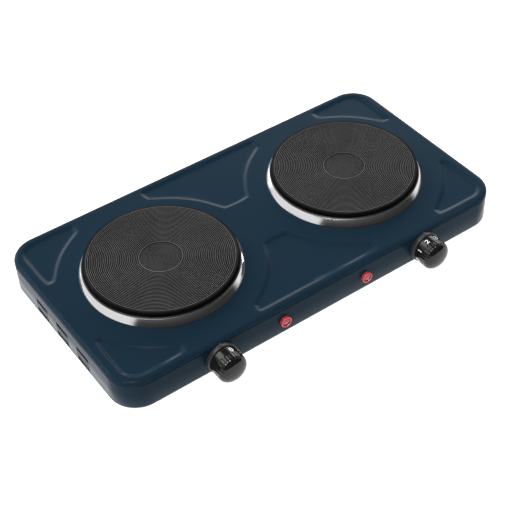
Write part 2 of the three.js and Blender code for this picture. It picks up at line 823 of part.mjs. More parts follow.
// Everything that belongs to one hotplate, with z = 0 on the deck. The terminal faces the
// middle of the cooker.
function addPlate(parent, side, sign) {
  const plate = new THREE.Group();
  plate.position.set(sign * PLATE_X, PLATE_Y, DECK);
  plate.rotation.z = sign > 0 ? Math.PI : 0;
  parent.add(plate);
  add(plate, `hotplate_${side}`, hotplate(), FINISH.castIron);
  add(plate, `trim_ring_${side}`, trimRing(), FINISH.brightSteel);
  add(plate, `heating_coil_${side}`, heatingCoil(), FINISH.heatingWire);
  add(plate, `insulation_disc_${side}`, insulationDisc(), FINISH.insulation);
  add(plate, `heat_shield_${side}`, heatShield(), FINISH.zincSteel);
  add(plate, `clamp_bracket_${side}`, clampBracket(), FINISH.zincSteel);
  add(plate, `centre_stud_${side}`, centreStud(), FINISH.zincSteel);
  add(plate, `stud_nut_${side}`, studNut(), FINISH.zincSteel);
  add(plate, `ceramic_terminal_${side}`, ceramicTerminal(), FINISH.ceramic);
}

function addControl(parent, side, sign) {
  const control = new THREE.Group();
  control.position.set(sign * CONTROL_X, FRONT, CONTROL_Z);
  control.rotation.x = Math.PI / 2;
  parent.add(control);
  add(control, `thermostat_${side}`, thermostat(), FINISH.ceramic);
  add(control, `thermostat_bracket_${side}`, thermostatBracket(), FINISH.zincSteel);
  for (const [place, signX] of [['outer', sign], ['inner', -sign]]) {
    const name = `thermostat_screw_${side}_${place}`;
    add(control, name, thermostatScrew(), FINISH.zincSteel).position.x = signX * FIXING_X;
  }
  add(control, `knob_bezel_${side}`, knobBezel(), FINISH.greyPlastic);
  add(control, `knob_shaft_${side}`, shaft(), FINISH.zincSteel);
  add(control, `knob_spring_${side}`, knobSpring(), FINISH.zincSteel);
  add(control, `knob_${side}`, knob(), FINISH.blackPlastic);
}

function addLamp(parent, side, sign) {
  const lamp = new THREE.Group();
  lamp.position.set(sign * LAMP_X, FRONT, CONTROL_Z);
  lamp.rotation.x = Math.PI / 2;
  parent.add(lamp);
  add(lamp, `indicator_lens_${side}`, indicatorLens(), FINISH.redLens);
  add(lamp, `neon_lamp_${side}`, neonLamp(), FINISH.glass);
  add(lamp, `lens_clip_${side}`, lensClip(), FINISH.zincSteel);
}

function addMains(parent) {
  const inlet = new THREE.Group();
  inlet.position.set(0, REAR, CONTROL_Z);
  inlet.rotation.x = -Math.PI / 2;
  parent.add(inlet);
  add(inlet, 'cord_gland', cordGland(), FINISH.rubber);
  add(parent, 'mains_terminal_block', mainsBlock(), FINISH.ceramic).position.y = MAINS_BLOCK_Y;
  add(parent, 'earth_screw', earthScrew(), FINISH.brass).position.set(EARTH.x, EARTH.y, 0);
}

// The wires of one hotplate: live to the thermostat, switched from there to the plate's
// terminal, and neutral straight to the terminal. Neutral passes over live.
function addLeads(parent, side, sign) {
  const front = MAINS_BLOCK_Y - MAINS_BLOCK_DEPTH / 2;
  const low = BASE_TOP + GAP + LEAD_RADIUS + 1;
  const high = low + 6;
  const tabX = sign * CONTROL_X;
  const tabY = FRONT + THERMOSTAT_REACH + GAP;
  const terminalX = sign * (PLATE_X - TERMINAL_X);
  const pinZ = DECK - SHIELD_DEPTH - GAP - TERMINAL_HEIGHT;
  const liveX = POLE_X.live + sign * WAY_X;
  const neutralX = POLE_X.neutral + sign * WAY_X;
  const live = [
    [liveX, front + 3, WAY_Z],
    [liveX, front - 1, WAY_Z],
    [liveX, front - 9, WAY_Z - 1],
    [liveX + sign * 24, front - 40, low],
    [sign * 48, -20, low],
    [tabX - sign * 38, tabY + 20, low],
    [tabX - sign * 12, tabY + 14, low + 5],
    [tabX - sign * TAB_X, tabY + 5, CONTROL_Z],
    [tabX - sign * TAB_X, tabY, CONTROL_Z],
  ];
  const switched = [
    [tabX + sign * TAB_X, tabY, CONTROL_Z],
    [tabX + sign * TAB_X, tabY + 5, CONTROL_Z],
    [tabX + sign * TAB_X, tabY + 14, CONTROL_Z - 6],
    [terminalX + sign * 16, -34, low + 3],
    [terminalX + sign * 2, PLATE_Y - 14, low + 3],
    [terminalX, PLATE_Y - TERMINAL_PIN, pinZ - 4],
    [terminalX, PLATE_Y - TERMINAL_PIN, pinZ],
    [terminalX, PLATE_Y - TERMINAL_PIN, pinZ + 4],
  ];
  const neutral = [
    [neutralX, front + 3, WAY_Z],
    [neutralX, front - 1, WAY_Z],
    [neutralX, front - 9, WAY_Z + 3],
    [sign * 40, 44, high],
    [terminalX - sign * 6, PLATE_Y + 16, high],
    [terminalX, PLATE_Y + TERMINAL_PIN, pinZ - 4],
    [terminalX, PLATE_Y + TERMINAL_PIN, pinZ],
    [terminalX, PLATE_Y + TERMINAL_PIN, pinZ + 4],
  ];
  add(parent, `live_lead_${side}`, lead(live, 20), FINISH.brownSleeve);
  add(parent, `switched_lead_${side}`, lead(switched, 18), FINISH.whiteSleeve);
  add(parent, `neutral_lead_${side}`, lead(neutral, 18), FINISH.blueSleeve);
}

// The wire that earths the base plate.
function addEarthLead(parent) {
  const front = MAINS_BLOCK_Y - MAINS_BLOCK_DEPTH / 2;
  const start = POLE_X.earth + WAY_X;
  const low = BASE_TOP + GAP + LEAD_RADIUS;
  const points = [
    [start, front + 3, WAY_Z],
    [start, front - 1, WAY_Z],
    [start + 12, front - 8, low + 1],
    [EARTH.x - 2, front, low],
    [EARTH.x, EARTH.y - 4 - GAP, low],
  ];
  add(parent, 'earth_lead', lead(points, 14), FINISH.greenSleeve);
}

const cooker = new THREE.Group();
const body = new THREE.Group();
body.position.y = BODY_Y;
cooker.add(body);

add(body, 'housing', housing(), FINISH.enamel);
add(body, 'base_plate', basePlate(), FINISH.zincSteel);
addFeet(body);
for (const [side, sign] of [['left', -1], ['right', 1]]) {
  addPlate(body, side, sign);
  addControl(body, side, sign);
  addLamp(body, side, sign);
  addLeads(body, side, sign);
}
addMains(body);
addEarthLead(body);

export default cooker;
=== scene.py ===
"""The looks of a twin-plate electric table cooker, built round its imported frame.

Sizes inside the shape functions are millimetres and are turned into metres as a mesh is
made. +Z is up, +Y is the rear, and left and right are those of the cook at -Y.
"""

from math import cos, pi, radians, sin

import bmesh
import bpy
import numpy as np
from mathutils import Matrix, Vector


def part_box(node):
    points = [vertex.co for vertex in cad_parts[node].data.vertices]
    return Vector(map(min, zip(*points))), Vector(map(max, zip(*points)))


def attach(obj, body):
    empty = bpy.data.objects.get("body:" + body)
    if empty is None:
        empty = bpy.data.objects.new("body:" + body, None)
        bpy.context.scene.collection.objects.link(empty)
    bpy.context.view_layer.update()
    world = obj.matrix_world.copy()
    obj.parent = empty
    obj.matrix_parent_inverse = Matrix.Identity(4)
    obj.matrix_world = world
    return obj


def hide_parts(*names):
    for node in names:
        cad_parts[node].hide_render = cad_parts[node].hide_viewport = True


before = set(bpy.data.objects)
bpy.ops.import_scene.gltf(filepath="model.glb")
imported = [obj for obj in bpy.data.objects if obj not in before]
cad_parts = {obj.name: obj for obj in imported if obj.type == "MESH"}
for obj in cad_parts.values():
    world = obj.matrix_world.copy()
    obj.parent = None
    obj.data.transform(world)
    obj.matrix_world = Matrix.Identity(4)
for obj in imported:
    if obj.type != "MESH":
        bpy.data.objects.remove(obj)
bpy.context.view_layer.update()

bl_info = {
    "name": "Twin-Plate Table Cooker",
    "version": (1, 0, 0),
    "blender": (4, 5, 0),
    "location": "View3D > Sidebar > Cooker",
    "description": "Builds a twin-plate electric table cooker round its frame",
    "category": "Add Mesh",
}

MM = 0.001
SIDES = {"left": -1, "right": 1}

# Points round a turned piece.
PLATE_STEPS = 240
BEZEL_STEPS = 96
LENS_STEPS = 72
RUBBER_STEPS = 64

# The body that stands still, as the frame names it.
COOKER = "cooker"


def corners(node):
    """The lowest and highest corner of a frame node, in millimetres."""
    low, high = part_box(node)
    return np.array(low) / MM, np.array(high) / MM


def millimetres(value):
    """A length in millimetres."""
    return value / MM


HOUSING_LOW, HOUSING_HIGH = corners("housing")
PLATE_LOW, PLATE_HIGH = corners("hotplate_right")
RING_LOW, RING_HIGH = corners("trim_ring_right")
BASE_LOW, BASE_HIGH = corners("base_plate")
KNOB_LOW, KNOB_HIGH = corners("knob_right")
BEZEL_LOW, BEZEL_HIGH = corners("knob_bezel_right")
LENS_LOW, LENS_HIGH = corners("indicator_lens_right")
GLAND_HIGH = corners("cord_gland")[1]
FOOT_HIGH = corners("foot_front_right")[1]

BODY_Y = (HOUSING_LOW[1] + HOUSING_HIGH[1]) / 2
DECK = HOUSING_HIGH[2]
SKIRT_BOTTOM = HOUSING_LOW[2]
FRONT = HOUSING_LOW[1]
REAR = HOUSING_HIGH[1]
PLATE_X, PLATE_Y = ((PLATE_LOW + PLATE_HIGH) / 2)[:2]
CONTROL_X, CONTROL_Z = (KNOB_LOW[0] + KNOB_HIGH[0]) / 2, (KNOB_LOW[2] + KNOB_HIGH[2]) / 2
LAMP_X = (LENS_LOW[0] + LENS_HIGH[0]) / 2


# ------------------------------------------------------------------ settings


class CookerSizes(bpy.types.PropertyGroup):
    """Sizes of the cooker's pieces that the frame leaves open."""

    sheet: bpy.props.FloatProperty(
        name="Sheet", description="Thickness of the housing's steel",
        default=0.8 * MM, unit="LENGTH",
    )
    corner: bpy.props.FloatProperty(
        name="Corner", description="Radius of the housing's corners",
        default=30.25 * MM, unit="LENGTH",
    )
    top_edge: bpy.props.FloatProperty(
        name="Top edge", description="Radius of the housing's top edge",
        default=4.2 * MM, unit="LENGTH",
    )
    crease: bpy.props.FloatProperty(
        name="Crease", description="Depth of the crease under the top edge",
        default=0.6 * MM, unit="LENGTH",
    )
    panel_depth: bpy.props.FloatProperty(
        name="Panel depth", description="Depth of the pressed panels",
        default=1.9 * MM, unit="LENGTH",
    )
    panel_slope: bpy.props.FloatProperty(
        name="Panel slope", description="Width of the pressed panels' walls",
        default=5.6 * MM, unit="LENGTH",
    )
    panel_arc: bpy.props.FloatProperty(
        name="Panel arc", description="Radius of the panels' edge round a hotplate",
        default=102.5 * MM, unit="LENGTH",
    )
    groove_pitch: bpy.props.FloatProperty(
        name="Groove pitch", description="Pitch of the hotplates' turned grooves",
        default=1.78 * MM, unit="LENGTH",
    )
    groove_depth: bpy.props.FloatProperty(
        name="Groove depth", description="Depth of the hotplates' turned grooves",
        default=0.5 * MM, unit="LENGTH",
    )
    recess: bpy.props.FloatProperty(
        name="Recess", description="Radius of the hotplates' middle recess",
        default=21.0 * MM, unit="LENGTH",
    )
    flutes: bpy.props.IntProperty(
        name="Flutes", description="Number of flutes round a knob",
        default=24,
    )
    flute_depth: bpy.props.FloatProperty(
        name="Flute depth", description="Depth of a knob's flutes",
        default=0.28 * MM, unit="LENGTH",
    )
    numeral: bpy.props.FloatProperty(
        name="Numeral", description="Height of the knobs' numerals",
        default=5.0 * MM, unit="LENGTH",
    )


class CookerColours(bpy.types.PropertyGroup):
    """Colours of the cooker's finishes."""

    enamel: bpy.props.FloatVectorProperty(
        name="Enamel", description="The housing's enamel",
        subtype="COLOR", default=(0.0086, 0.0223, 0.0370),
    )
    iron: bpy.props.FloatVectorProperty(
        name="Iron", description="The hotplates' coated iron",
        subtype="COLOR", default=(0.05, 0.05, 0.05),
    )
    steel: bpy.props.FloatVectorProperty(
        name="Steel", description="The trim rings' polished steel",
        subtype="COLOR", default=(0.78, 0.78, 0.79),
    )
    knob: bpy.props.FloatVectorProperty(
        name="Knob", description="The knobs' black plastic",
        subtype="COLOR", default=(0.008, 0.008, 0.008),
    )
    bezel: bpy.props.FloatVectorProperty(
        name="Bezel", description="The bezels' grey plastic",
        subtype="COLOR", default=(0.026, 0.027, 0.028),
    )
    lens: bpy.props.FloatVectorProperty(
        name="Lens", description="The signal lamps' red lens",
        subtype="COLOR", default=(0.60, 0.035, 0.045),
    )


class CookerStudio(bpy.types.PropertyGroup):
    """The studio round the cooker."""

    lens: bpy.props.FloatProperty(
        name="Lens", description="Focal length in millimetres",
        default=85.78,
    )
    distance: bpy.props.FloatProperty(
        name="Distance", description="Camera's distance from its aim",
        default=1.2512, unit="LENGTH",
    )
    azimuth: bpy.props.FloatProperty(
        name="Azimuth", description="Camera's direction round the cooker",
        default=radians(-33.764), subtype="ANGLE",
    )
    elevation: bpy.props.FloatProperty(
        name="Elevation", description="Camera's height angle",
        default=radians(43.557), subtype="ANGLE",
    )
    roll: bpy.props.FloatProperty(
        name="Roll", description="Camera's turn round its own axis",
        default=radians(-2.481), subtype="ANGLE",
    )
    aim: bpy.props.FloatVectorProperty(
        name="Aim", description="Point that the camera looks at",
        subtype="XYZ", default=(-0.01094, 0.00234, 0.012),
    )
    floor_glow: bpy.props.FloatProperty(
        name="Floor glow", description="Light that the lit floor gives off itself",
        default=0.95,
    )


# ------------------------------------------------------------------ shader maths


class Shade:
    """A value in a node tree. Arithmetic on it adds Math nodes."""

    def __init__(self, tree, socket):
        self.tree = tree
        self.socket = socket

    def maths(self, operation, *values):
        return self.tree.node("ShaderNodeMath", {"operation": operation}, dict(enumerate(values)))

    def __add__(self, other):
        return self.maths("ADD", self, other)

    def __sub__(self, other):
        return self.maths("SUBTRACT", self, other)

    def __rsub__(self, other):
        return self.maths("SUBTRACT", other, self)

    def __mul__(self, other):
        return self.maths("MULTIPLY", self, other)

    def __truediv__(self, other):
        return self.maths("DIVIDE", self, other)

    def __pow__(self, other):
        return self.maths("POWER", self, other)

    __radd__ = __add__
    __rmul__ = __mul__

    def within(self, low, high):
        """0 below low, 1 above high, and an S-curve between."""
        settings = {"interpolation_type": "SMOOTHSTEP"}
        return self.tree.node("ShaderNodeMapRange", settings, {0: self, 1: low, 2: high})


class Paint:
    """A node tree being filled: every node comes from node()."""

    def __init__(self, owner):
        owner.use_nodes = True
        self.tree = owner.node_tree
        self.tree.nodes.clear()

    def node(self, kind, settings=None, values=None, output=0):
        """Adds one node: its settings first, then the values or links of its sockets."""
        made = self.tree.nodes.new(kind)
        for key, value in (settings or {}).items():
            setattr(made, key, value)
        for key, value in (values or {}).items():
            if isinstance(value, Shade):
                self.tree.links.new(value.socket, made.inputs[key])
            else:
                made.inputs[key].default_value = value
        return Shade(self, made.outputs[output])

    def coordinates(self, centre=(0, 0, 0), scale=(1, 1, 1)):
        """Object coordinates, centred on a piece and scaled."""
        place = self.node("ShaderNodeTexCoord", output="Object")
        offset = tuple(-c * s for c, s in zip(centre, scale))
        values = {"Vector": place, "Location": offset, "Scale": scale}
        return self.node("ShaderNodeMapping", values=values)

    def parts(self, vector):
        """A vector's three components."""
        split = self.node("ShaderNodeSeparateXYZ", values={0: vector})
        outputs = split.socket.node.outputs
        return [Shade(self, outputs[i]) for i in range(3)]

    def noise(self, vector, scale, detail=3.0, roughness=0.5):
        values = {"Vector": vector, "Scale": scale, "Detail": detail, "Roughness": roughness}
        return self.node("ShaderNodeTexNoise", values=values)

    def mark(self, name):
        """A value kept on the mesh's points."""
        return self.node("ShaderNodeAttribute", {"attribute_name": name}, output="Fac")

    def blend(self, factor, first, second):
        """A colour between two colours."""
        mix = {"data_type": "RGBA"}
        colours = [c if isinstance(c, Shade) else (*c, 1.0) for c in (first, second)]
        return self.node("ShaderNodeMix", mix, {0: factor, 6: colours[0], 7: colours[1]}, output=2)

    def bump(self, height, distance, strength=1.0, normal=None):
        values = {"Strength": strength, "Distance": distance, "Height": height}
        if normal is not None:
            values["Normal"] = normal
        return self.node("ShaderNodeBump", values=values)

    def surface(self, **values):
        """Ends a material: the principled shader with these sockets, by name with underscores."""
        named = {}
        for key, value in values.items():
            colour = isinstance(value, tuple) and len(value) == 3
            named[key.replace("_", " ")] = (*value, 1.0) if colour else value
        shader = self.node("ShaderNodeBsdfPrincipled", values=named)
        self.node_output("ShaderNodeOutputMaterial", shader)

    def node_output(self, kind, shader):
        end = self.tree.nodes.new(kind)
        self.tree.links.new(shader.socket, end.inputs["Surface"])


def tinted(colour, factor):
    """A colour made lighter or darker by a factor."""
    return tuple(min(1.0, c * factor) for c in colour)


# ------------------------------------------------------------------ finishes


def new_finish(name):
    """Starts a finish, as a node tree to fill. finish(name) finds it again."""
    return Paint(bpy.data.materials.new(f"{name}_finish"))


def enamel_finish():
    """Glassy enamel on pressed steel: a soft ripple, fine orange peel, faint rub marks on edges."""
    paint = new_finish("enamel")
    colour = tuple(bpy.context.scene.cooker_colours.enamel)
    place = paint.coordinates()
    cloud = paint.noise(place, 9.0, 3.0)
    speckle = paint.noise(place, 1400.0, 2.0)
    wear = paint.mark("wear") * paint.noise(place, 420.0, 4.0).within(0.42, 0.68)
    tone = (cloud - 0.5) * 0.35 + (speckle - 0.5) * 0.3 + 0.5
    base = paint.blend(tone, tinted(colour, 0.84), tinted(colour, 1.16))
    base = paint.blend(wear * 0.15, base, (0.05, 0.085, 0.115))
    peel = paint.noise(place, 520.0, 2.0)
    ripple = paint.noise(place, 26.0, 1.0)
    normal = paint.bump(ripple, 0.0004, 0.35)
    normal = paint.bump(peel, 0.00003, 0.5, normal)
    gloss = paint.noise(place, 60.0, 4.0) * 0.06 + 0.15 + wear * 0.1
    paint.surface(Base_Color=base, Roughness=gloss, Normal=normal, Specular_IOR_Level=0.035)


def iron_finish():
    """Black-coated cast iron with turned grooves: the ridges are painted bright, partly as rubbed
    wear and partly as painted highlight, and the grooves between are painted nearly black as
    painted shade.
    """
    paint = new_finish("cast_iron")
    colour = tuple(bpy.context.scene.cooker_colours.iron)
    place = paint.coordinates()
    ridge = paint.mark("ridge")
    grain = paint.noise(place, 1100.0, 4.0, 0.6)
    patch = paint.noise(place, 42.0, 4.0)
    # The ridge mark paints the ridges bright, as rubbed wear and painted highlight, and the grooves
    # nearly black, as painted shade.
    wear_and_shade = ridge * (patch * 0.05 + 0.92)
    base = paint.blend(wear_and_shade.within(0.76, 1.0), tinted(colour, 0.03), tinted(colour, 5.5))
    base = paint.blend(grain.within(0.35, 0.75) * 0.3, base, tinted(colour, 0.5))
    rough = 0.66 - wear_and_shade * 0.16 + grain * 0.12
    normal = paint.bump(grain, 0.00012, 0.6)
    paint.surface(Base_Color=base, Roughness=rough, Normal=normal, Specular_IOR_Level=0.03)


def bright_steel_finish(name, centre, colour):
    """Polished steel spun round a plate's axis: hair-fine rings, faint finger smears, and a lip
    painted dark and dull as painted shade where the ring meets the black plate. The shading
    normal is tipped upwards, so that the steel mirrors more of what is above it."""
    paint = new_finish(name)
    place = paint.coordinates((centre[0] * MM, centre[1] * MM, 0))
    x, y, z = paint.parts(place)
    radius = (x * x + y * y) ** 0.5
    turned = {0: radius * 2600.0, 1: z * 2600.0, 2: x * 3.0}
    spin = paint.node("ShaderNodeCombineXYZ", values=turned)
    hair = paint.noise(spin, 1.0, 2.0)
    smear = paint.noise(place, 34.0, 4.0, 0.6)
    base = paint.blend(smear.within(0.35, 0.8) * 0.3, colour, tinted(colour, 0.82))
    # The lip is painted dark and dull: painted shade where the ring meets the black plate, which
    # also hides bright specks mirrored there.
    soot = paint.mark("soot")
    base = paint.blend(soot, base, (0.05, 0.05, 0.05))
    rough = hair * 0.07 + smear * 0.08 + soot * 0.4 + 0.06
    normal = paint.bump(hair, 0.00001, 0.35)
    normal = paint.bump(paint.noise(place, 70.0, 1.0), 0.00015, 0.25, normal)
    upwards = (0.0, 0.0, 0.4)
    lifted = paint.node("ShaderNodeVectorMath", {"operation": "ADD"}, {0: normal, 1: upwards})
    lifted = paint.node("ShaderNodeVectorMath", {"operation": "NORMALIZE"}, {0: lifted})
    paint.surface(Base_Color=base, Roughness=rough, Metallic=1.0, Normal=lifted)


def zinc_finish():
    """Galvanised steel: blotchy spangle, light scratches."""
    paint = new_finish("zinc_steel")
    place = paint.coordinates()
    spangle = {"Vector": place, "Scale": 170.0}
    cells = paint.node("ShaderNodeTexVoronoi", values=spangle, output="Color")
    tone = paint.parts(cells)[0]
    stretched = paint.coordinates(scale=(30.0, 900.0, 900.0))
    scratch = paint.noise(stretched, 1.0, 3.0)
    base = paint.blend(tone * 0.6 + scratch * 0.3, (0.42, 0.43, 0.45), (0.72, 0.73, 0.75))
    normal = paint.bump(scratch, 0.00003, 0.5)
    gloss = tone * 0.12 + scratch * 0.1 + 0.26
    paint.surface(Base_Color=base, Roughness=gloss, Metallic=0.9, Normal=normal)


def plastic_finish(name, colour, rough, peel=0.00002, coat=0.0, grain=900.0, shine=0.5):
    """Moulded plastic: fine mould texture, slow gloss changes and dulled spots from handling."""
    paint = new_finish(name)
    place = paint.coordinates()
    skin = paint.noise(place, grain, 3.0)
    handled = paint.noise(place, 95.0, 4.0)
    base = paint.blend(handled * 0.6 + skin * 0.2, tinted(colour, 0.8), tinted(colour, 1.25))
    gloss = handled.within(0.3, 0.8) * 0.08 + skin * 0.04 + rough
    normal = paint.bump(skin, peel, 0.6)
    paint.surface(
        Base_Color=base,
        Roughness=gloss,
        Normal=normal,
        Coat_Weight=coat,
        Specular_IOR_Level=shine,
    )


def print_finish():
    """White pad-printed ink, slightly worn."""
    paint = new_finish("dial_print")
    place = paint.coordinates()
    worn = paint.noise(place, 1500.0, 4.0)
    base = paint.blend(worn.within(0.45, 0.8), (0.86, 0.86, 0.85), (0.6, 0.6, 0.6))
    rough = worn * 0.1 + 0.35
    paint.surface(Base_Color=base, Roughness=rough, Normal=paint.bump(worn, 0.00002, 0.4))


def lens_finish():
    """Red translucent plastic with a clear gloss: the red is painted deeper in the lens's groove
    and over the lamp behind it as painted shade, and a faint red glow is painted in as light coming
    through the lens."""
    paint = new_finish("red_lens")
    colour = tuple(bpy.context.scene.cooker_colours.lens)
    place = paint.coordinates()
    # Painted shade darkens the red in the groove, the stem and the dome's middle; the emission is
    # painted light, a faint glow from a lens that is no lamp.
    depth = paint.mark("depth")
    swirl = paint.noise(place, 420.0, 3.0)
    shade = (depth + (swirl - 0.5) * 0.4).within(0.1, 0.9)
    base = paint.blend(shade, (0.56, 0.05, 0.055), tinted(colour, 0.25))
    glow = paint.blend(shade, (0.85, 0.10, 0.12), (0.12, 0.0, 0.005))
    normal = paint.bump(swirl, 0.00012, 0.4)
    paint.surface(
        Base_Color=base,
        Roughness=swirl * 0.06 + 0.1,
        Normal=normal,
        Coat_Weight=0.6,
        Emission_Color=glow,
        Emission_Strength=0.1,
    )


def glass_finish():
    """Pale glass of the neon lamps."""
    paint = new_finish("neon_glass")
    streak = paint.noise(paint.coordinates(), 300.0, 3.0)
    base = paint.blend(streak, (0.85, 0.66, 0.55), (0.95, 0.85, 0.78))
    paint.surface(Base_Color=base, Roughness=streak * 0.05 + 0.04, Coat_Weight=0.5)


def fibre_finish(name, colour, scale, rough):
    """A matte, fibrous or gritty stuff such as wire sleeving, mineral wool or porcelain."""
    paint = new_finish(name)
    place = paint.coordinates()
    thread = paint.noise(place, scale, 5.0, 0.65)
    cloud = paint.noise(place, scale / 12, 2.0)
    base = paint.blend(thread * 0.7 + cloud * 0.3, tinted(colour, 0.75), tinted(colour, 1.2))
    normal = paint.bump(thread, 0.0001, 0.6)
    paint.surface(Base_Color=base, Roughness=thread * 0.15 + rough, Normal=normal)


def metal_finish(name, colour, rough):
    """A plain metal with drawn marks and light tarnish."""
    paint = new_finish(name)
    place = paint.coordinates()
    tarnish = paint.noise(place, 130.0, 4.0)
    base = paint.blend(tarnish.within(0.35, 0.75), colour, tinted(colour, 0.6))
    normal = paint.bump(paint.noise(place, 1400.0, 2.0), 0.00002, 0.5)
    paint.surface(Base_Color=base, Roughness=tarnish * 0.15 + rough, Metallic=0.9, Normal=normal)


FIBRES = {
    "ceramic": ((0.72, 0.68, 0.60), 700.0, 0.38),
    "insulation": ((0.58, 0.52, 0.42), 500.0, 0.8),
    "brown_sleeve": ((0.15, 0.055, 0.022), 1500.0, 0.5),
    "blue_sleeve": ((0.03, 0.11, 0.34), 1500.0, 0.5),
    "white_sleeve": ((0.68, 0.66, 0.60), 1500.0, 0.7),
    "green_sleeve": ((0.07, 0.26, 0.05), 1500.0, 0.5),
}


def all_finishes():
    """Makes every finish of the cooker."""
    colours = bpy.context.scene.cooker_colours
    enamel_finish()
    iron_finish()
    zinc_finish()
    for side, sign in SIDES.items():
        centre = (sign * PLATE_X, PLATE_Y)
        bright_steel_finish(f"bright_steel_{side}", centre, tuple(colours.steel))
    plastic_finish("black_plastic", tuple(colours.knob), 0.05, 0.000005, 0.12, shine=0.27)
    plastic_finish("grey_plastic", tuple(colours.bezel), 0.38, 0.00003)
    plastic_finish("rubber", (0.014, 0.014, 0.014), 0.6, 0.00006, grain=600.0)
    print_finish()
    lens_finish()
    glass_finish()
    metal_finish("heating_wire", (0.17, 0.14, 0.11), 0.4)
    metal_finish("brass", (0.62, 0.44, 0.16), 0.25)
    for name, (colour, scale, rough) in FIBRES.items():
        fibre_finish(name, colour, scale, rough)


def finish(name):
    """A finish that has been made, by its slot's name."""
    return bpy.data.materials[f"{name}_finish"]


# The finish of each frame node that is kept as it is, by the start of the node's name.
CARRIED = {
    "foot_screw": "zinc_steel",
    "heating_coil": "heating_wire",
    "insulation_disc": "insulation",
    "heat_shield": "zinc_steel",
    "clamp_bracket": "zinc_steel",
    "centre_stud": "zinc_steel",
    "stud_nut": "zinc_steel",
    "ceramic_terminal": "ceramic",
    "thermostat_bracket": "zinc_steel",
    "thermostat_screw": "zinc_steel",
    "thermostat": "ceramic",
    "knob_shaft": "zinc_steel",
    "knob_spring": "zinc_steel",
    "neon_lamp": "neon_glass",
    "lens_clip": "zinc_steel",
    "live_lead": "brown_sleeve",
    "switched_lead": "white_sleeve",
    "neutral_lead": "blue_sleeve",
    "mains_terminal_block": "ceramic",
    "earth_screw": "brass",
    "earth_lead": "green_sleeve",
}


# ------------------------------------------------------------------ grids and meshes


def grid_faces(rows, columns, wrap_rows=False, wrap_columns=False):
    """Four-sided faces of a grid: each takes a point, its neighbour along the row, and the two
    in the next row. A wrapped direction closes on itself."""
    row = np.arange(rows if wrap_rows else rows - 1)[:, None]
    column = np.arange(columns if wrap_columns else columns - 1)[None, :]
    next_row, next_column = (row + 1) % rows, (column + 1) % columns
    a, b = row * columns + column, row * columns + next_column
    c, d = next_row * columns + next_column, next_row * columns + column
    return np.stack([a, b, c, d], axis=-1).reshape(-1, 4)


class Skin:
    """Grids gathered into one skin, in millimetres, with values kept on their points."""

    def __init__(self):
        self.points, self.faces, self.marks, self.count = [], [], {}, 0

    def grid(self, points, wrap_rows=False, wrap_columns=False, flip=False, **marks):
        """Adds a grid of points (rows, columns, 3)."""
        faces = grid_faces(*points.shape[:2], wrap_rows, wrap_columns)
        flat = points.reshape(-1, 3)
        self.points.append(flat)
        self.faces.append((faces[:, ::-1] if flip else faces) + self.count)
        for name in sorted({*self.marks, *marks}):
            column = self.marks.setdefault(name, [np.zeros(self.count)])
            value = np.broadcast_to(marks.get(name, 0.0), points.shape[:2])
            column.append(value.reshape(-1))
        self.count += len(flat)
        return self

    def welded(self):
        """The skin with equal points merged, and faces that lose a corner made three-sided."""
        points = np.concatenate(self.points)
        keys = np.round(points / 1e-4).astype(np.int64)
        _, first, where = np.unique(keys, axis=0, return_index=True, return_inverse=True)
        faces = where.reshape(-1)[np.concatenate(self.faces)]
        same = faces == np.roll(faces, -1, axis=1)
        quads = faces[~same.any(axis=1)]
        once = same.sum(axis=1) == 1
        kept = ~same[once]
        triangles = faces[once][kept].reshape(-1, 3)
        marks = {name: np.concatenate(value)[first] for name, value in self.marks.items()}
        return points[first], quads, triangles, marks


def faces_inward(points, quads, triangles):
    """Whether a closed skin's faces look inward: the sum of each triangle's corner products is
    six times the volume inside, and negative when the faces are turned the wrong way."""
    points = points - points.mean(axis=0)
    halves = np.concatenate([quads[:, [0, 1, 2]], quads[:, [0, 2, 3]], triangles])
    a, b, c = (points[halves[:, i]] for i in range(3))
    return np.einsum("ij,ij->", a, np.cross(b, c)) < 0


def make_mesh(name, skin, closed=True):
    """A mesh in metres from a skin, with its faces outward."""
    points, quads, triangles, marks = skin.welded()
    if closed and faces_inward(points, quads, triangles):
        quads, triangles = quads[:, ::-1], triangles[:, ::-1]
    mesh = bpy.data.meshes.new(name)
    mesh.vertices.add(len(points))
    mesh.vertices.foreach_set("co", (points * MM).astype(np.float32).reshape(-1))
    loops = np.concatenate([quads.reshape(-1), triangles.reshape(-1)]).astype(np.int32)
    totals = np.concatenate([np.full(len(quads), 4), np.full(len(triangles), 3)])
    starts = np.concatenate([[0], np.cumsum(totals)[:-1]])
    mesh.loops.add(len(loops))
    mesh.loops.foreach_set("vertex_index", loops)
    mesh.polygons.add(len(totals))
    mesh.polygons.foreach_set("loop_start", starts.astype(np.int32))
    mesh.update(calc_edges=True)
    for key, value in marks.items():
        kept = mesh.attributes.new(key, "FLOAT", "POINT")
        kept.data.foreach_set("value", value.astype(np.float32))
    if mesh.validate():
        raise RuntimeError(f"{name}: the mesh has faulty faces")
    return mesh


def smooth(mesh, angle):
    """Smooth shading, with edges sharper than an angle kept crisp."""
    mesh.polygons.foreach_set("use_smooth", np.ones(len(mesh.polygons), bool))
    mesh.set_sharp_from_angle(angle=radians(angle))
    mesh.update()


def add_piece(mesh, material, body, nodes, angle=38):
    """Puts a finished mesh in the scene, on its body, in place of its frame nodes."""
    smooth(mesh, angle)
    mesh.materials.clear()
    mesh.materials.append(finish(material))
    piece = bpy.data.objects.new(mesh.name, mesh)
    bpy.context.scene.collection.objects.link(piece)
    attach(piece, body)
    if nodes:
        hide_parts(*nodes)


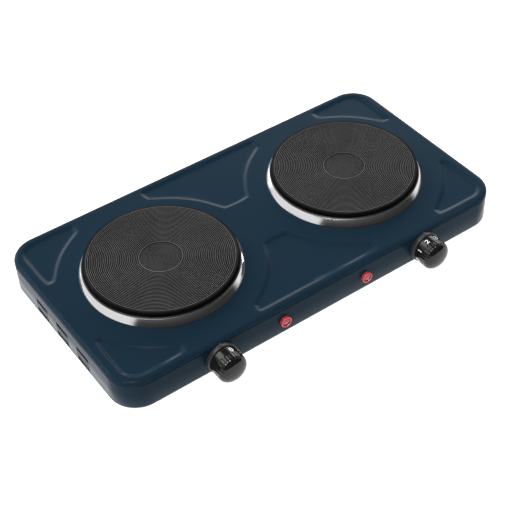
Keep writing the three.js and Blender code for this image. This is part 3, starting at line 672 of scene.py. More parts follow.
def cut_out(mesh, cutter):
    """The mesh with the cutter's closed bodies taken away."""
    base = bpy.data.objects.new("cut_base", mesh)
    tool = bpy.data.objects.new("cut_tool", cutter)
    for item in (base, tool):
        bpy.context.scene.collection.objects.link(item)
    modifier = base.modifiers.new("cut", "BOOLEAN")
    modifier.operation = "DIFFERENCE"
    modifier.solver = "MANIFOLD"
    modifier.object = tool
    graph = bpy.context.evaluated_depsgraph_get()
    result = bpy.data.meshes.new_from_object(base.evaluated_get(graph))
    result.name = mesh.name
    for item in (base, tool):
        bpy.data.objects.remove(item)
    return result


def lathe(profile, count, centre=(0.0, 0.0, 0.0), axis="Z", swell=None):
    """A body of revolution. Point (i, j) is profile radius i at angle 2 pi j / count round the
    axis, at profile height i along it. swell(height, angle) is added to the radius."""
    profile = np.asarray(profile, float)
    angle = 2 * pi * np.arange(count)[None, :] / count
    height = profile[:, 1][:, None] + 0 * angle
    radius = profile[:, 0][:, None] + 0 * angle
    if swell is not None:
        radius = radius + swell(radius, height, angle)
    across, up = radius * np.sin(angle), radius * np.cos(angle)
    if axis == "Z":
        points = np.stack([across, up, height], axis=-1)
    elif axis == "-Y":
        points = np.stack([across, -height, up], axis=-1)
    else:
        points = np.stack([across, height, up], axis=-1)
    return points + np.asarray(centre, float)


def turned_skin(profile, count, centre, axis="Z", closed=False, swell=None, **marks):
    """The skin of a body of revolution, with values kept along its profile. A closed profile
    joins its last point to its first."""
    rows = {name: value[:, None] for name, value in marks.items()}
    points = lathe(profile, count, centre, axis, swell)
    return Skin().grid(points, wrap_rows=closed, wrap_columns=True, **rows)


def arc(centre, radius, start, end, steps):
    """Points of a circle's arc, in degrees from the first axis, as [radius, height] pairs."""
    angle = np.radians(np.linspace(start, end, steps))
    x, y = centre[0] + radius * np.cos(angle), centre[1] + radius * np.sin(angle)
    return np.stack([x, y], axis=-1)


def prism(outline, low, high, axis):
    """A closed bar: an outline (n, 2) carried from low to high along an axis, with its ends
    drawn together at the outline's middle."""
    middle = np.repeat(outline.mean(axis=0)[None, :], len(outline), axis=0)
    rings = np.stack([middle, outline, outline, middle])
    levels = np.broadcast_to(np.array([low, low, high, high])[:, None], rings.shape[:2])
    order = {"X": (2, 0, 1), "Y": (0, 2, 1), "Z": (0, 1, 2)}[axis]
    stacked = np.concatenate([rings, levels[..., None]], axis=-1)
    return stacked[..., list(order)]


def slot_outline(length, width, centre, steps=9):
    """A straight slot with round ends, along the first axis."""
    reach, radius = (length - width) / 2, width / 2
    right = arc((reach, 0), radius, -90, 90, steps)
    left = arc((-reach, 0), radius, 90, 270, steps)
    return np.concatenate([right, left]) + np.asarray(centre)


def circle_outline(radius, centre, steps=32):
    """A round hole's outline."""
    return arc(centre, radius, 0, 360 - 360 / steps, steps)


def bars(*shapes):
    """One skin of several closed bars, each with its faces outward."""
    skin = Skin()
    for shape in shapes:
        alone = Skin().grid(shape, wrap_columns=True)
        points, quads, triangles, _ = alone.welded()
        inward = faces_inward(points, quads, triangles)
        skin.grid(shape, wrap_columns=True, flip=inward)
    return skin


def last_within(angle, low, high, beyond, halvings=44):
    """How far each ray goes before beyond(distance) holds, found by halving an interval."""
    low, high = np.full_like(angle, low), np.full_like(angle, high)
    for _ in range(halvings):
        half = (low + high) / 2
        past = beyond(half)
        low, high = np.where(past, low, half), np.where(past, half, high)
    return (low + high) / 2


# ------------------------------------------------------------------ housing

# The pressed panels, from the housing's middle: the ends and sides that they reach, the start
# of an outer panel, the end and start of a middle one, and how softly their edges meet.
PANEL_END, PANEL_SIDE = 220.0, 110.5
OUTER_START, OUTER_SIDE = 152.0, 43.0
MIDDLE_END, MIDDLE_SIDE = 74.5, 31.0
PANEL_BLEND = 4.2

# Openings: each slot's length and width, and the radius of each hole.
END_SLOT, END_SLOT_ROWS, END_SLOT_PITCH = (23.0, 4.4), (17.0, 29.0), 40.0
SPINDLE_HOLE, LAMP_HOLE, CORD_HOLE = 5.2, 4.5, 6.3
BEZEL_HOLE, BEZEL_HOLE_OFFSET = 2.0, 11
BASE_SLOT, BASE_SLOT_PITCH = (64.0, 5.0), 16
EARTH_HOLE, EARTH_PLACE = 2.2, (42.0, 92.0)
FOOT_HOLE, FOOT_INSET = 2.6, 30


class HousingForm:
    """The housing's outline and its pressed deck, in millimetres from the housing's middle."""

    def __init__(self, sizes):
        self.half_length = (HOUSING_HIGH[0] - HOUSING_LOW[0]) / 2
        self.half_depth = (REAR - FRONT) / 2
        self.corner = millimetres(sizes.corner)
        self.edge = millimetres(sizes.top_edge)
        self.sheet = millimetres(sizes.sheet)
        self.crease = millimetres(sizes.crease)
        self.depth = millimetres(sizes.panel_depth)
        self.slope = millimetres(sizes.panel_slope)
        self.arc = millimetres(sizes.panel_arc)
        self.centre = np.array([PLATE_X, PLATE_Y - BODY_Y])
        self.hole = 71.0

    def outline_distance(self, x, y):
        """Signed distance from the rounded outline, negative inside: the distance from an inner
        rectangle drawn in by the corner radius, less that radius."""
        dx = np.abs(x) - (self.half_length - self.corner)
        dy = np.abs(y) - (self.half_depth - self.corner)
        outside = np.hypot(np.maximum(dx, 0), np.maximum(dy, 0))
        return outside + np.minimum(np.maximum(dx, dy), 0) - self.corner

    def outline_normal(self, x, y):
        """The outward direction of the outline near a point."""
        dx = np.maximum(np.abs(x) - (self.half_length - self.corner), 0) * np.sign(x)
        dy = np.maximum(np.abs(y) - (self.half_depth - self.corner), 0) * np.sign(y)
        length = np.maximum(np.hypot(dx, dy), 1e-9)
        return dx / length, dy / length

    def reach(self, angle, inset, seam):
        """How far a ray from the plate's middle goes before it is within inset of the outline,
        or within seam of the housing's middle line."""

        def beyond(distance):
            x = self.centre[0] + distance * np.cos(angle)
            y = self.centre[1] + distance * np.sin(angle)
            return np.maximum(self.outline_distance(x, y) + inset, seam - x) > 0

        return last_within(angle, 20.0, 260.0, beyond)

    def panel(self, x, y):
        """How far inside a pressed panel a point lies. A panel is where all its edge distances
        are positive; the smooth least of them rounds the panel's corners."""
        x, y_side = np.abs(x), np.abs(y)
        round_plate = np.hypot(x - self.centre[0], y - self.centre[1]) - self.arc
        side = PANEL_SIDE - y_side
        end = self.rounded_corner(PANEL_END - x, side, 20.0)
        inner_end = self.rounded_corner(MIDDLE_END - x, side, 6.0)
        outer = smooth_least([round_plate, x - OUTER_START, y_side - OUTER_SIDE, end])
        middle = smooth_least([round_plate, inner_end, y_side - MIDDLE_SIDE])
        return np.maximum(outer, middle)

    @staticmethod
    def rounded_corner(a, b, radius):
        """The distance inside two crossing edges whose corner is rounded."""
        inner_a, inner_b = radius - a, radius - b
        outside = np.hypot(np.maximum(inner_a, 0), np.maximum(inner_b, 0))
        return radius - outside - np.minimum(np.maximum(inner_a, inner_b), 0)

    def height(self, x, y):
        """The deck's height: it falls by the panels' depth along an S-curve over their walls."""
        t = np.clip(self.panel(x, y) / self.slope, 0, 1)
        return DECK - self.depth * t * t * (3 - 2 * t)

    def angles(self):
        """Ray angles round a plate: one or two a degree, close together where a panel's short
        walls and the housing's corners lie, with the seam's ends among them."""
        spread = [np.arange(0, 360, 1.0)]
        walls = [(OUTER_START, 103), (MIDDLE_END, 103), (213, OUTER_SIDE), (8, MIDDLE_SIDE)]
        for x, y in walls:
            for sign in (-1, 1):
                middle = np.degrees(np.arctan2(sign * y - self.centre[1], x - self.centre[0]))
                spread.append(middle + np.arange(-4.2, 4.21, 0.28))
        for sign in (-1, 1):
            x, y = self.half_length - self.corner / 2, sign * (self.half_depth - self.corner / 2)
            middle = np.degrees(np.arctan2(y - self.centre[1], x - self.centre[0]))
            spread.append(middle + np.arange(-9.0, 9.01, 0.5))
        angles = np.round(np.concatenate(spread) % 360, 4)
        ends = [self.seam_end(sign) for sign in (-1, 1)]
        near = np.min([np.abs(angles - e) for e in ends], axis=0)
        angles = np.unique(np.concatenate([angles[near > 0.2], ends]))
        gaps = np.diff(angles, append=angles[0] + 360)
        return angles[(gaps > 0.09) | np.isin(angles, ends)], ends

    def seam_end(self, sign):
        """The angle of the point where the middle line meets the top edge."""
        y = sign * (self.half_depth - self.edge) - self.centre[1]
        return np.degrees(np.arctan2(y, -self.centre[0])) % 360


def smooth_least(values, radius=PANEL_BLEND):
    """The least of several distances, rounded where two meet: it is lowered by 0.55 radius
    times the log of the sum of exp((least - value) / radius)."""
    stacked = np.stack(values)
    least = stacked.min(axis=0)
    return least - radius * np.log(np.exp(-(stacked - least) / radius).sum(axis=0)) * 0.55


def deck_lines(form, angle, coarse):
    """Distances of the deck's lines along each ray: rings round the plate, packed close at the
    panels' arc, then lines that follow the outline, packed close at the panels' outer walls."""
    if coarse:
        rings = np.array([form.hole, 90.0, 104.0])
        insets = np.array([12.0, form.edge])
        steps = 4
    else:
        spread = [form.hole, 74, 78, 83, 88, 93, 97, 100]
        rings = np.concatenate([spread, np.arange(101.5, 107.6, 0.45)])
        insets = np.concatenate([np.arange(12.4, 5.5, -0.5), [4.9, form.edge]])
        steps = 14
    outer = np.stack([form.reach(angle, d, (d - form.edge) * 0.6) for d in insets])
    limit = np.minimum(1.0, (outer[0] - 1.2 - form.hole) / (rings[-1] - form.hole))
    inner = form.hole + (rings[:, None] - form.hole) * limit
    share = np.linspace(0, 1, steps + 2)[1:-1, None]
    between = inner[-1] + (outer[0] - inner[-1]) * share
    return np.concatenate([inner, between, outer])


def housing_half(skin, form, sign):
    """One half of the housing's shell. The deck is a grid of rays and lines; the edge and skirt
    carry a profile of [outward, down] steps along the outline; the inner skin repeats both one
    sheet's thickness within, and strips close the plate's hole and the skirt's lower edge."""
    degrees, ends = form.angles()
    angle = np.radians(degrees)
    start, stop = (int(np.argmin(np.abs(degrees - e))) for e in ends)
    band = np.concatenate([np.arange(start, len(degrees)), np.arange(0, stop + 1)])
    turn = np.array([sign, 1.0, 1.0])
    offset = np.array([0.0, BODY_Y, 0.0])

    def put(points, **more):
        skin.grid(points * turn + offset, flip=sign < 0, **more)

    def deck(lines, drop):
        x = form.centre[0] + lines * np.cos(angle)
        y = form.centre[1] + lines * np.sin(angle)
        x = np.where(np.abs(x) < 1e-5, 0.0, x)
        return np.stack([x, y, form.height(x, y) - drop], axis=-1)

    outer_deck = deck(deck_lines(form, angle, False), 0.0)
    inner_deck = deck(deck_lines(form, angle, True), form.sheet)
    rim_x, rim_y = outer_deck[-1, band, 0], outer_deck[-1, band, 1]
    normal = np.stack([*form.outline_normal(rim_x, rim_y), 0 * rim_x], axis=-1)
    normal[0] = (0, -1, 0)
    normal[-1] = (0, 1, 0)

    def skirt(profile):
        profile = np.asarray(profile)
        rim = np.stack([rim_x, rim_y, np.full_like(rim_x, DECK)], axis=-1)
        out = profile[:, 0][:, None, None] * normal[None]
        down = profile[:, 1][:, None, None] * np.array([0, 0, -1.0])
        return rim[None] + out + down

    turnover = np.radians(np.linspace(0, 90, 9))
    edge, sheet, fall = form.edge, form.sheet, DECK - SKIRT_BOTTOM
    rounded = np.stack([edge * np.sin(turnover), edge * (1 - np.cos(turnover))], axis=-1)
    dip = form.crease * np.sin(np.linspace(0, pi, 6)[1:-1]) ** 0.8
    creased = np.stack([edge - dip, edge + np.linspace(0, 1.3, 6)[1:-1]], axis=-1)
    lower = [
        [edge, edge + 1.3], [edge, edge + 2.2], [edge, 16.0],
        [edge, fall - 0.3], [edge - 0.12, fall - 0.08], [edge - 0.35, fall],
    ]
    outer_skirt = skirt(np.concatenate([rounded, creased, lower]))
    within = edge - sheet
    inside = np.stack([within * np.sin(turnover), sheet + within * (1 - np.cos(turnover))], axis=-1)
    inner_skirt = skirt(np.concatenate([inside, [[within, 16.0], [within, fall]]]))

    rows = outer_skirt.shape[0]
    rub = np.zeros((rows, 1))
    rub[2:9] = np.array([0.15, 0.45, 0.9, 1.0, 0.8, 0.45, 0.2])[:, None]
    put(outer_deck, wrap_columns=True, wear=0.0)
    put(inner_deck[::-1], wrap_columns=True)
    put(np.stack([inner_deck[0], outer_deck[0]]), wrap_columns=True)
    put(outer_skirt, wear=rub)
    put(inner_skirt[::-1])
    put(np.stack([outer_skirt[-1], inner_skirt[-1]]))


def housing_cutters():
    """The openings in the skirt: two rows of cooling slots in each end, the spindles', lamps'
    and bezels' holes in the front, and the cord's hole in the rear."""
    shapes = []
    for sign in SIDES.values():
        end = sign * HOUSING_HIGH[0]
        for row in END_SLOT_ROWS:
            for step in (-1, 0, 1):
                outline = slot_outline(*END_SLOT, (BODY_Y + END_SLOT_PITCH * step, row))
                shapes.append(prism(outline, end - 3, end + 3, "X"))
        middle = sign * CONTROL_X
        front_holes = [
            (middle, SPINDLE_HOLE), (sign * LAMP_X, LAMP_HOLE),
            (middle - BEZEL_HOLE_OFFSET, BEZEL_HOLE), (middle + BEZEL_HOLE_OFFSET, BEZEL_HOLE),
        ]
        for x, radius in front_holes:
            outline = circle_outline(radius, (x, CONTROL_Z))
            shapes.append(prism(outline, FRONT - 3, FRONT + 3, "Y"))
    shapes.append(prism(circle_outline(CORD_HOLE, (0, CONTROL_Z)), REAR - 3, REAR + 3, "Y"))
    return bars(*shapes)


# ------------------------------------------------------------------ base plate


def base_plate_skin(form):
    """The bottom cover: rays from its middle to the rounded outline, carrying a profile that
    runs out along the underside, up round the hem and back inside."""
    angle = np.radians(np.unique(np.concatenate([
        np.arange(0, 360, 2.0),
        *[np.arange(a - 8, a + 8, 0.6) % 360 for a in (25.0, 155.0, 205.0, 335.0)],
    ])))
    inset, bottom, top = 0.5, BASE_LOW[2], BASE_HIGH[2]

    def loop(extra, up):
        def beyond(distance):
            x, y = distance * np.cos(angle), distance * np.sin(angle)
            return form.outline_distance(x, y) + inset + extra > 0

        return last_within(angle, 0.0, 300.0, beyond), bottom + up + 0 * angle

    def flat(share, up):
        return far * share, bottom + up + 0 * angle

    far = loop(9.0, 0.0)[0]
    shares = (0.0, 0.25, 0.5, 0.75, 1.0)
    below = [flat(share, 0.0) for share in shares]
    hem = [
        (0.75, 0.0), (0.3, 0.15), (0.06, 0.42), (0.0, 0.75), (0.06, 1.08),
        (0.3, 1.35), (0.75, 1.5), (7.0, 1.5), (7.3, 1.2), (7.4, 0.8),
    ]
    edge = [loop(extra, up) for extra, up in hem]
    above = [flat(share, 0.8) for share in reversed(shares)]
    radius, height = (np.stack(part) for part in zip(*below, *edge, *above))
    height = np.minimum(height, top)
    points = np.stack([radius * np.cos(angle), radius * np.sin(angle) + BODY_Y, height], axis=-1)
    return Skin().grid(points, wrap_columns=True)


def base_plate_cutters():
    """Five cooling slots under each plate, and holes for the foot screws and the earth screw."""
    low, high = BASE_LOW[2] - 2, BASE_HIGH[2] + 2
    earth = circle_outline(EARTH_HOLE, (EARTH_PLACE[0], EARTH_PLACE[1] + BODY_Y))
    shapes = [prism(earth, low, high, "Z")]
    for sign in SIDES.values():
        for row in (-2, -1, 0, 1, 2):
            centre = (sign * PLATE_X, PLATE_Y + BASE_SLOT_PITCH * row)
            shapes.append(prism(slot_outline(*BASE_SLOT, centre), low, high, "Z"))
        for place in (-1, 1):
            across = (REAR - FRONT) / 2 - FOOT_INSET
            centre = (sign * (HOUSING_HIGH[0] - FOOT_INSET), BODY_Y + place * across)
            shapes.append(prism(circle_outline(FOOT_HOLE, centre), low, high, "Z"))
    return bars(*shapes)


# ------------------------------------------------------------------ hotplates


def hotplate_profile(sizes):
    """The plate's section as [radius, height above the deck] with how bright each point is painted:
    rubbed wear and painted highlight on the ridges, painted shade in the grooves. The parts are a
    finely ringed recess, a thin rim, turned grooves whose depth follows a raised cosine, a plain
    outer band, a rounded edge, and the hollow underside."""
    top = PLATE_HIGH[2] - DECK
    outer = (PLATE_HIGH[0] - PLATE_LOW[0]) / 2
    recess, pitch = millimetres(sizes.recess), millimetres(sizes.groove_pitch)
    depth = millimetres(sizes.groove_depth)
    inner = np.linspace(0.0, recess - 0.7, 96)
    inner_wave = 0.5 + 0.5 * np.cos(2 * pi * inner / 1.27)
    inner_height = top - 0.6 - 0.07 * (1 - inner_wave)
    rim = np.array([
        [recess - 0.5, top - 0.5], [recess, top - 0.08], [recess + 0.2, top], [recess + 0.7, top],
    ])
    count = int((outer - 2.2 - recess - 1.0) / pitch)
    grooved = recess + 0.9 + np.arange(count * 7 + 1) * pitch / 7
    wave = 0.5 + 0.5 * np.cos(2 * pi * (grooved - grooved[0]) / pitch)
    grooved_height = top - depth * (1 - wave ** 0.8)
    band = np.array([[grooved[-1] + 0.3, top], [outer - 1.3, top]])
    edge = arc((outer - 1.2, top - 1.2), 1.2, 80, 0, 6)
    under = np.array([
        [outer, top - 3], [outer, 6.0], [outer, 1.6], [outer - 0.4, 1.2], [70.0, 1.2],
        [70.0, 7.0], [9.0, 7.0], [9.0, 1.2], [3.3, 1.2], [3.3, 8.0], [0.0, 8.0],
    ])
    # How bright each part is painted: the ridges light as rubbed wear and painted highlight, the
    # grooves dark as painted shade, and the rounded edge darker towards its side as painted shade.
    parts = [
        (np.stack([inner, inner_height], axis=-1), 0.54 + 0.4 * inner_wave),
        (rim, np.array([0.2, 0.7, 0.93, 0.85])),
        (np.stack([grooved, grooved_height], axis=-1), wave),
        (band, np.array([0.84, 0.82])),
        (edge, np.linspace(0.75, 0.1, 6)),
        (under, np.zeros(len(under))),
    ]
    profile = np.concatenate([part for part, _ in parts])
    profile[:, 1] += DECK
    return profile, np.concatenate([wear_and_shade for _, wear_and_shade in parts])


def trim_ring_profile():
    """The collar's section and how much painted shade darkens each point of it: a flat flange under
    the plate, a small bead at its outer foot, a cone that rises to the plate, and a lip turned in
    round the plate that is painted dark as painted shade."""
    outer = (RING_HIGH[0] - RING_LOW[0]) / 2
    low, top = RING_LOW[2] - DECK, RING_HIGH[2] - DECK
    lip = 77.8
    foot = arc((outer - 0.35, low + 0.35), 0.35, -90, 20, 6)
    rise = np.linspace(0.0, 1.0, 14)
    chord_r = outer - 0.1 - 3.35 * rise
    chord_z = low + 0.9 + (top - 0.45 - low - 0.9) * rise
    bulge = 0.4 * np.sin(pi * rise) ** 0.85
    cone = np.stack([np.minimum(chord_r + bulge, outer), chord_z + 0.25 * bulge], axis=-1)
    turned = arc((lip + 0.3, top - 0.42), 0.42, 50, 95, 5)
    inner = cone[3:-1:3][::-1] - np.array([0.55, 0.1])
    inner = np.concatenate([[[lip, top - 0.1], [lip, top - 0.8]], inner])
    flange = np.array([[outer - 1.6, low + 0.5], [73.0, low + 0.5], [73.0, low]])
    profile = np.concatenate([foot, cone, turned, inner, flange])
    profile[:, 1] += DECK
    # From the top of the cone on, the ring is painted dark: painted shade where it meets the plate.
    clean = len(foot) + len(cone) - 2
    lip_shaded = (np.arange(len(profile)) >= clean) * 1.0
    return profile, lip_shaded


# ------------------------------------------------------------------ controls


def knob_skin(sizes, centre):
    """A knob: a hollow cup with its profile turned round the spindle. Flutes sink into the
    grip by a raised cosine round the knob, faded in and out along it."""
    reach, back = FRONT - KNOB_LOW[1], FRONT - KNOB_HIGH[1]
    radius = (KNOB_HIGH[0] - KNOB_LOW[0]) / 2
    depth = millimetres(sizes.flute_depth)
    shoulder, dome = reach - 7.5, 7.5
    quarter = np.radians(np.linspace(0, 90, 22))
    cap = np.stack([radius * np.cos(quarter) ** 0.86, shoulder + dome * np.sin(quarter)], axis=-1)
    cap[-1, 0] = 0.0
    wall = np.stack([np.full(26, radius), np.linspace(back + 0.9, shoulder - 0.3, 26)], axis=-1)
    hem = arc((radius - 0.7, back + 0.7), 0.7, -90, -8, 5)
    hub = [
        [0.0, 18.4], [3.4, 18.4], [3.4, back + 1], [6.2, back + 1],
        [6.2, 17.0], [12.7, 17.0], [12.7, back],
    ]
    profile = np.concatenate([hub, hem, wall, cap])

    def swell(r, height, angle):
        fade_in = np.clip((height - 14.2) / 1.0, 0, 1)
        fade_out = np.clip((25.6 - height) / 3.6, 0, 1)
        fade = fade_in ** 2 * (3 - 2 * fade_in) * fade_out ** 2 * (3 - 2 * fade_out)
        scallop = (0.5 + 0.5 * np.cos(sizes.flutes * angle)) ** 2
        outside = r > 9.0
        walled = np.abs(r - 12.7) > 0.05
        return -depth * fade * scallop * outside * walled

    return turned_skin(profile, sizes.flutes * 14, centre, "-Y", swell=swell)


def bezel_skin(centre):
    """A bezel: a shallow cup turned round the spindle with softened edges, and an index rib."""
    radius, depth = 16.6, FRONT - BEZEL_LOW[1]
    outside = arc((radius - 0.9, depth - 0.9), 0.9, 0, 90, 6)
    profile = np.concatenate([
        [[5.0, 3.3], [15.0, 3.3], [15.0, 0.3], [radius - 0.2, 0.3], [radius, 0.6]],
        outside,
        [[15.2, depth], [14.8, depth - 0.25], [5.6, depth - 0.25], [5.0, depth - 0.5]],
    ])
    skin = turned_skin(profile, BEZEL_STEPS, centre, "-Y", closed=True)
    across = np.array([-0.95, -0.8, -0.4, 0.4, 0.8, 0.95])
    ends = np.array([0.45, depth - 1.2, depth - 0.2, depth])
    drop = np.array([0.0, 0.0, 0.12, 0.6])[:, None]
    crown = np.array([[0.0, 0.35, 0.6, 0.6, 0.35, 0.0]] * 4) - drop
    low = radius - 0.7 + 0 * crown
    high = BEZEL_HIGH[2] - CONTROL_Z - 0.6 + crown

    def strip(level):
        x = np.broadcast_to(across, level.shape)
        y = -np.broadcast_to(ends[:, None], level.shape)
        return np.stack([x, y, level], axis=-1)

    ring = np.concatenate([strip(high), strip(low)[:, ::-1]], axis=1)
    middle = ring.mean(axis=1, keepdims=True)
    closed = np.concatenate([
        np.repeat(middle[:1], 12, axis=1), ring, np.repeat(middle[-1:], 12, axis=1),
    ])
    points, quads, triangles, _ = Skin().grid(closed, wrap_columns=True).welded()
    inward = faces_inward(points, quads, triangles)
    return skin.grid(closed + np.asarray(centre), wrap_columns=True, flip=inward)


NUMERAL_PLACES = {"left": 22.0, "right": -107.0}
NUMERAL_SPACING = 45.0
NUMERAL_REACH = 10.8
INK = 0.1


def numeral_mesh(name, text, height, angle, centre, radius):
    """A numeral laid round a knob: its width follows the knob's curve, its top points to the
    panel, and it stands a tenth of a millimetre proud."""
    curve = bpy.data.curves.new(name, "FONT")
    curve.body = text
    curve.size = height * 1.38 * MM
    curve.align_x = "CENTER"
    curve.extrude = INK * MM
    curve.offset = 0.09 * MM
    curve.resolution_u = 5
    item = bpy.data.objects.new(name, curve)
    bpy.context.scene.collection.objects.link(item)
    graph = bpy.context.evaluated_depsgraph_get()
    mesh = bpy.data.meshes.new_from_object(item.evaluated_get(graph))
    bpy.data.objects.remove(item)
    flat = np.zeros(len(mesh.vertices) * 3, np.float32)
    mesh.vertices.foreach_get("co", flat)
    flat = flat.reshape(-1, 3).astype(float) / MM
    flat[:, :2] -= (flat[:, :2].max(axis=0) + flat[:, :2].min(axis=0)) / 2
    along = NUMERAL_REACH - flat[:, 1]
    out = radius + 0.02 + flat[:, 2]
    turn = radians(angle) + 1.2 * flat[:, 0] / radius
    points = np.stack([out * np.sin(turn), -along, out * np.cos(turn)], axis=-1) + centre
    mesh.vertices.foreach_set("co", (points * MM).astype(np.float32).reshape(-1))
    work = bmesh.new()
    work.from_mesh(mesh)
    bmesh.ops.remove_doubles(work, verts=work.verts, dist=1e-6)
    bmesh.ops.recalc_face_normals(work, faces=work.faces)
    work.to_mesh(mesh)
    work.free()
    mesh.name = name
    return mesh


# ------------------------------------------------------------------ lamps, gland and feet


def lens_profile():
    """A lens from its hollow stem to its face: flange, groove and low dome, as [radius, reach]
    pairs with how much painted shade darkens the red at each."""
    reach = FRONT - LENS_LOW[1]
    radius = (LENS_HIGH[0] - LENS_LOW[0]) / 2
    stem = np.array([
        [0.0, 1.0], [3.1, 1.0], [3.1, -9.0], [4.2, -9.0], [4.2, 0.3], [radius - 0.1, 0.3],
    ])
    side = np.array([[radius, 0.5], [radius - 0.25, reach - 1.5]])
    flange = arc((radius - 0.95, reach - 0.75), 0.72, 5, 110, 8)
    face = np.array([
        [radius - 1.4, reach - 0.5], [4.5, reach - 1.3], [4.3, reach - 1.5], [4.0, reach - 1.4],
    ])
    turn = np.radians(np.linspace(20, 90, 16))
    dome = np.stack([4.0 * np.cos(turn), reach - 1.75 + 1.6 * np.sin(turn)], axis=-1)
    dome[-1, 0] = 0.0
    parts = (
        (stem, np.full(len(stem), 0.9)),
        (side, [0.6, 0.4]),
        (flange, np.zeros(len(flange))),
        (face, [0.3, 0.9, 1.0, 1.0]),
        (dome, np.linspace(0.9, 0.45, len(dome))),
    )
    profile, lens_shade = zip(*parts)
    return np.concatenate(profile), np.concatenate(lens_shade)


def gland_profile():
    """The rear bush as [radius, reach from the rear face] pairs: bore, snap skirt, neck and
    flange."""
    reach = GLAND_HIGH[1] - REAR
    face = arc((8.0 - 0.4, reach - 1.4), 1.4, 0, 90, 7)
    skirt = [[3.7, -8.0], [5.2, -8.0], [7.6, -3.1], [7.6, -1.1]]
    neck = [[6.0, -1.1], [6.0, 0.3], [8.8, 0.3], [9.0, 0.5]]
    return np.concatenate([
        skirt,
        neck,
        face,
        arc((4.5, reach - 0.8), 0.8, 90, 180, 5),
    ])


def foot_profile():
    """A rubber foot with a ribbed side and a screw recess, as [radius, height] pairs."""
    top = FOOT_HIGH[2]
    level = np.linspace(1.6, top - 0.6, 25)
    ribs = 0.22 * (0.5 - 0.5 * np.cos(2 * pi * (level - 1.6) / 2.0))
    side = np.stack([11.0 + 0.09 * level - ribs, level], axis=-1)
    return np.concatenate([
        [[5.0, 0.3], [5.3, 0.0], [9.6, 0.0]],
        arc((9.8, 1.2), 1.2, -90, 0, 6),
        side,
        [[11.9, top], [2.3, top], [2.3, 5.0], [5.0, 5.0]],
    ])


# ------------------------------------------------------------------ operators


class COOKER_OT_finishes(bpy.types.Operator):
    """Make every finish and put the right one on each carried-over frame node"""

    bl_idname = "cooker.finishes"
    bl_label = "Finishes"

    def execute(self, context):
        all_finishes()
        for name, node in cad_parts.items():
            stem = next((key for key in CARRIED if name.startswith(key)), None)
            if stem is None:
                continue
            node.data.materials.clear()
            node.data.materials.append(finish(CARRIED[stem]))
        return {"FINISHED"}


class COOKER_OT_housing(bpy.types.Operator):
    """Build the pressed and enamelled housing"""

    bl_idname = "cooker.housing"
    bl_label = "Housing"

    def execute(self, context):
        form = HousingForm(context.scene.cooker_sizes)
        skin = Skin()
        for sign in SIDES.values():
            housing_half(skin, form, sign)
        whole = make_mesh("enamelled_housing", skin)
        cutter = make_mesh("housing_cutters", housing_cutters(), closed=False)
        add_piece(cut_out(whole, cutter), "enamel", COOKER, ["housing"], angle=32)
        return {"FINISHED"}


class COOKER_OT_base(bpy.types.Operator):
    """Build the base plate with its rolled hem"""

    bl_idname = "cooker.base"
    bl_label = "Base plate"

    def execute(self, context):
        form = HousingForm(context.scene.cooker_sizes)
        whole = make_mesh("hemmed_base_plate", base_plate_skin(form))
        cutter = make_mesh("base_cutters", base_plate_cutters(), closed=False)
        add_piece(cut_out(whole, cutter), "zinc_steel", COOKER, ["base_plate"])
        return {"FINISHED"}


class COOKER_OT_hotplates(bpy.types.Operator):
    """Build the grooved hotplates"""

    bl_idname = "cooker.hotplates"
    bl_label = "Hotplates"

    def execute(self, context):
        profile, wear_and_shade = hotplate_profile(context.scene.cooker_sizes)
        for side, sign in SIDES.items():
            skin = turned_skin(profile, PLATE_STEPS, (sign * PLATE_X, PLATE_Y, 0), ridge=wear_and_shade)
            mesh = make_mesh(f"grooved_hotplate_{side}", skin)
            add_piece(mesh, "cast_iron", COOKER, [f"hotplate_{side}"], angle=60)
        return {"FINISHED"}


class COOKER_OT_rings(bpy.types.Operator):
    """Build the polished trim rings"""

    bl_idname = "cooker.rings"
    bl_label = "Trim rings"

    def execute(self, context):
        profile, lip_shaded = trim_ring_profile()
        for side, sign in SIDES.items():
            centre = (sign * PLATE_X, PLATE_Y, 0)
            skin = turned_skin(profile, PLATE_STEPS, centre, closed=True, soot=lip_shaded)
            mesh = make_mesh(f"polished_ring_{side}", skin)
            nodes = [f"trim_ring_{side}"]
            add_piece(mesh, f"bright_steel_{side}", COOKER, nodes)
        return {"FINISHED"}


class COOKER_OT_controls(bpy.types.Operator):
    """Build the knobs with their numerals, and the bezels behind them"""

    bl_idname = "cooker.controls"
    bl_label = "Controls"

    def execute(self, context):
        sizes = context.scene.cooker_sizes
        radius = (KNOB_HIGH[0] - KNOB_LOW[0]) / 2
        height = millimetres(sizes.numeral)
        for side, sign in SIDES.items():
            centre = np.array([sign * CONTROL_X, FRONT, CONTROL_Z])
            knob = make_mesh(f"fluted_knob_{side}", knob_skin(sizes, centre))
            add_piece(knob, "black_plastic", f"{side}_control", [f"knob_{side}"], angle=45)
            bezel = make_mesh(f"indexed_bezel_{side}", bezel_skin(centre), closed=False)
            add_piece(bezel, "grey_plastic", COOKER, [f"knob_bezel_{side}"])
            for number in range(6):
                angle = NUMERAL_PLACES[side] + NUMERAL_SPACING * number
                name = f"numeral_{side}_{number}"
                mesh = numeral_mesh(name, str(number), height, angle, centre, radius)
                add_piece(mesh, "dial_print", f"{side}_control", [])
        return {"FINISHED"}


class COOKER_OT_lamps(bpy.types.Operator):
    """Build the signal lamps' lenses"""

    bl_idname = "cooker.lamps"
    bl_label = "Signal lamps"

    def execute(self, context):
        profile, lens_shade = lens_profile()
        for side, sign in SIDES.items():
            centre = (sign * LAMP_X, FRONT, CONTROL_Z)
            skin = turned_skin(profile, LENS_STEPS, centre, "-Y", depth=lens_shade)
            mesh = make_mesh(f"signal_lens_{side}", skin)
            add_piece(mesh, "red_lens", COOKER, [f"indicator_lens_{side}"], angle=50)
        return {"FINISHED"}


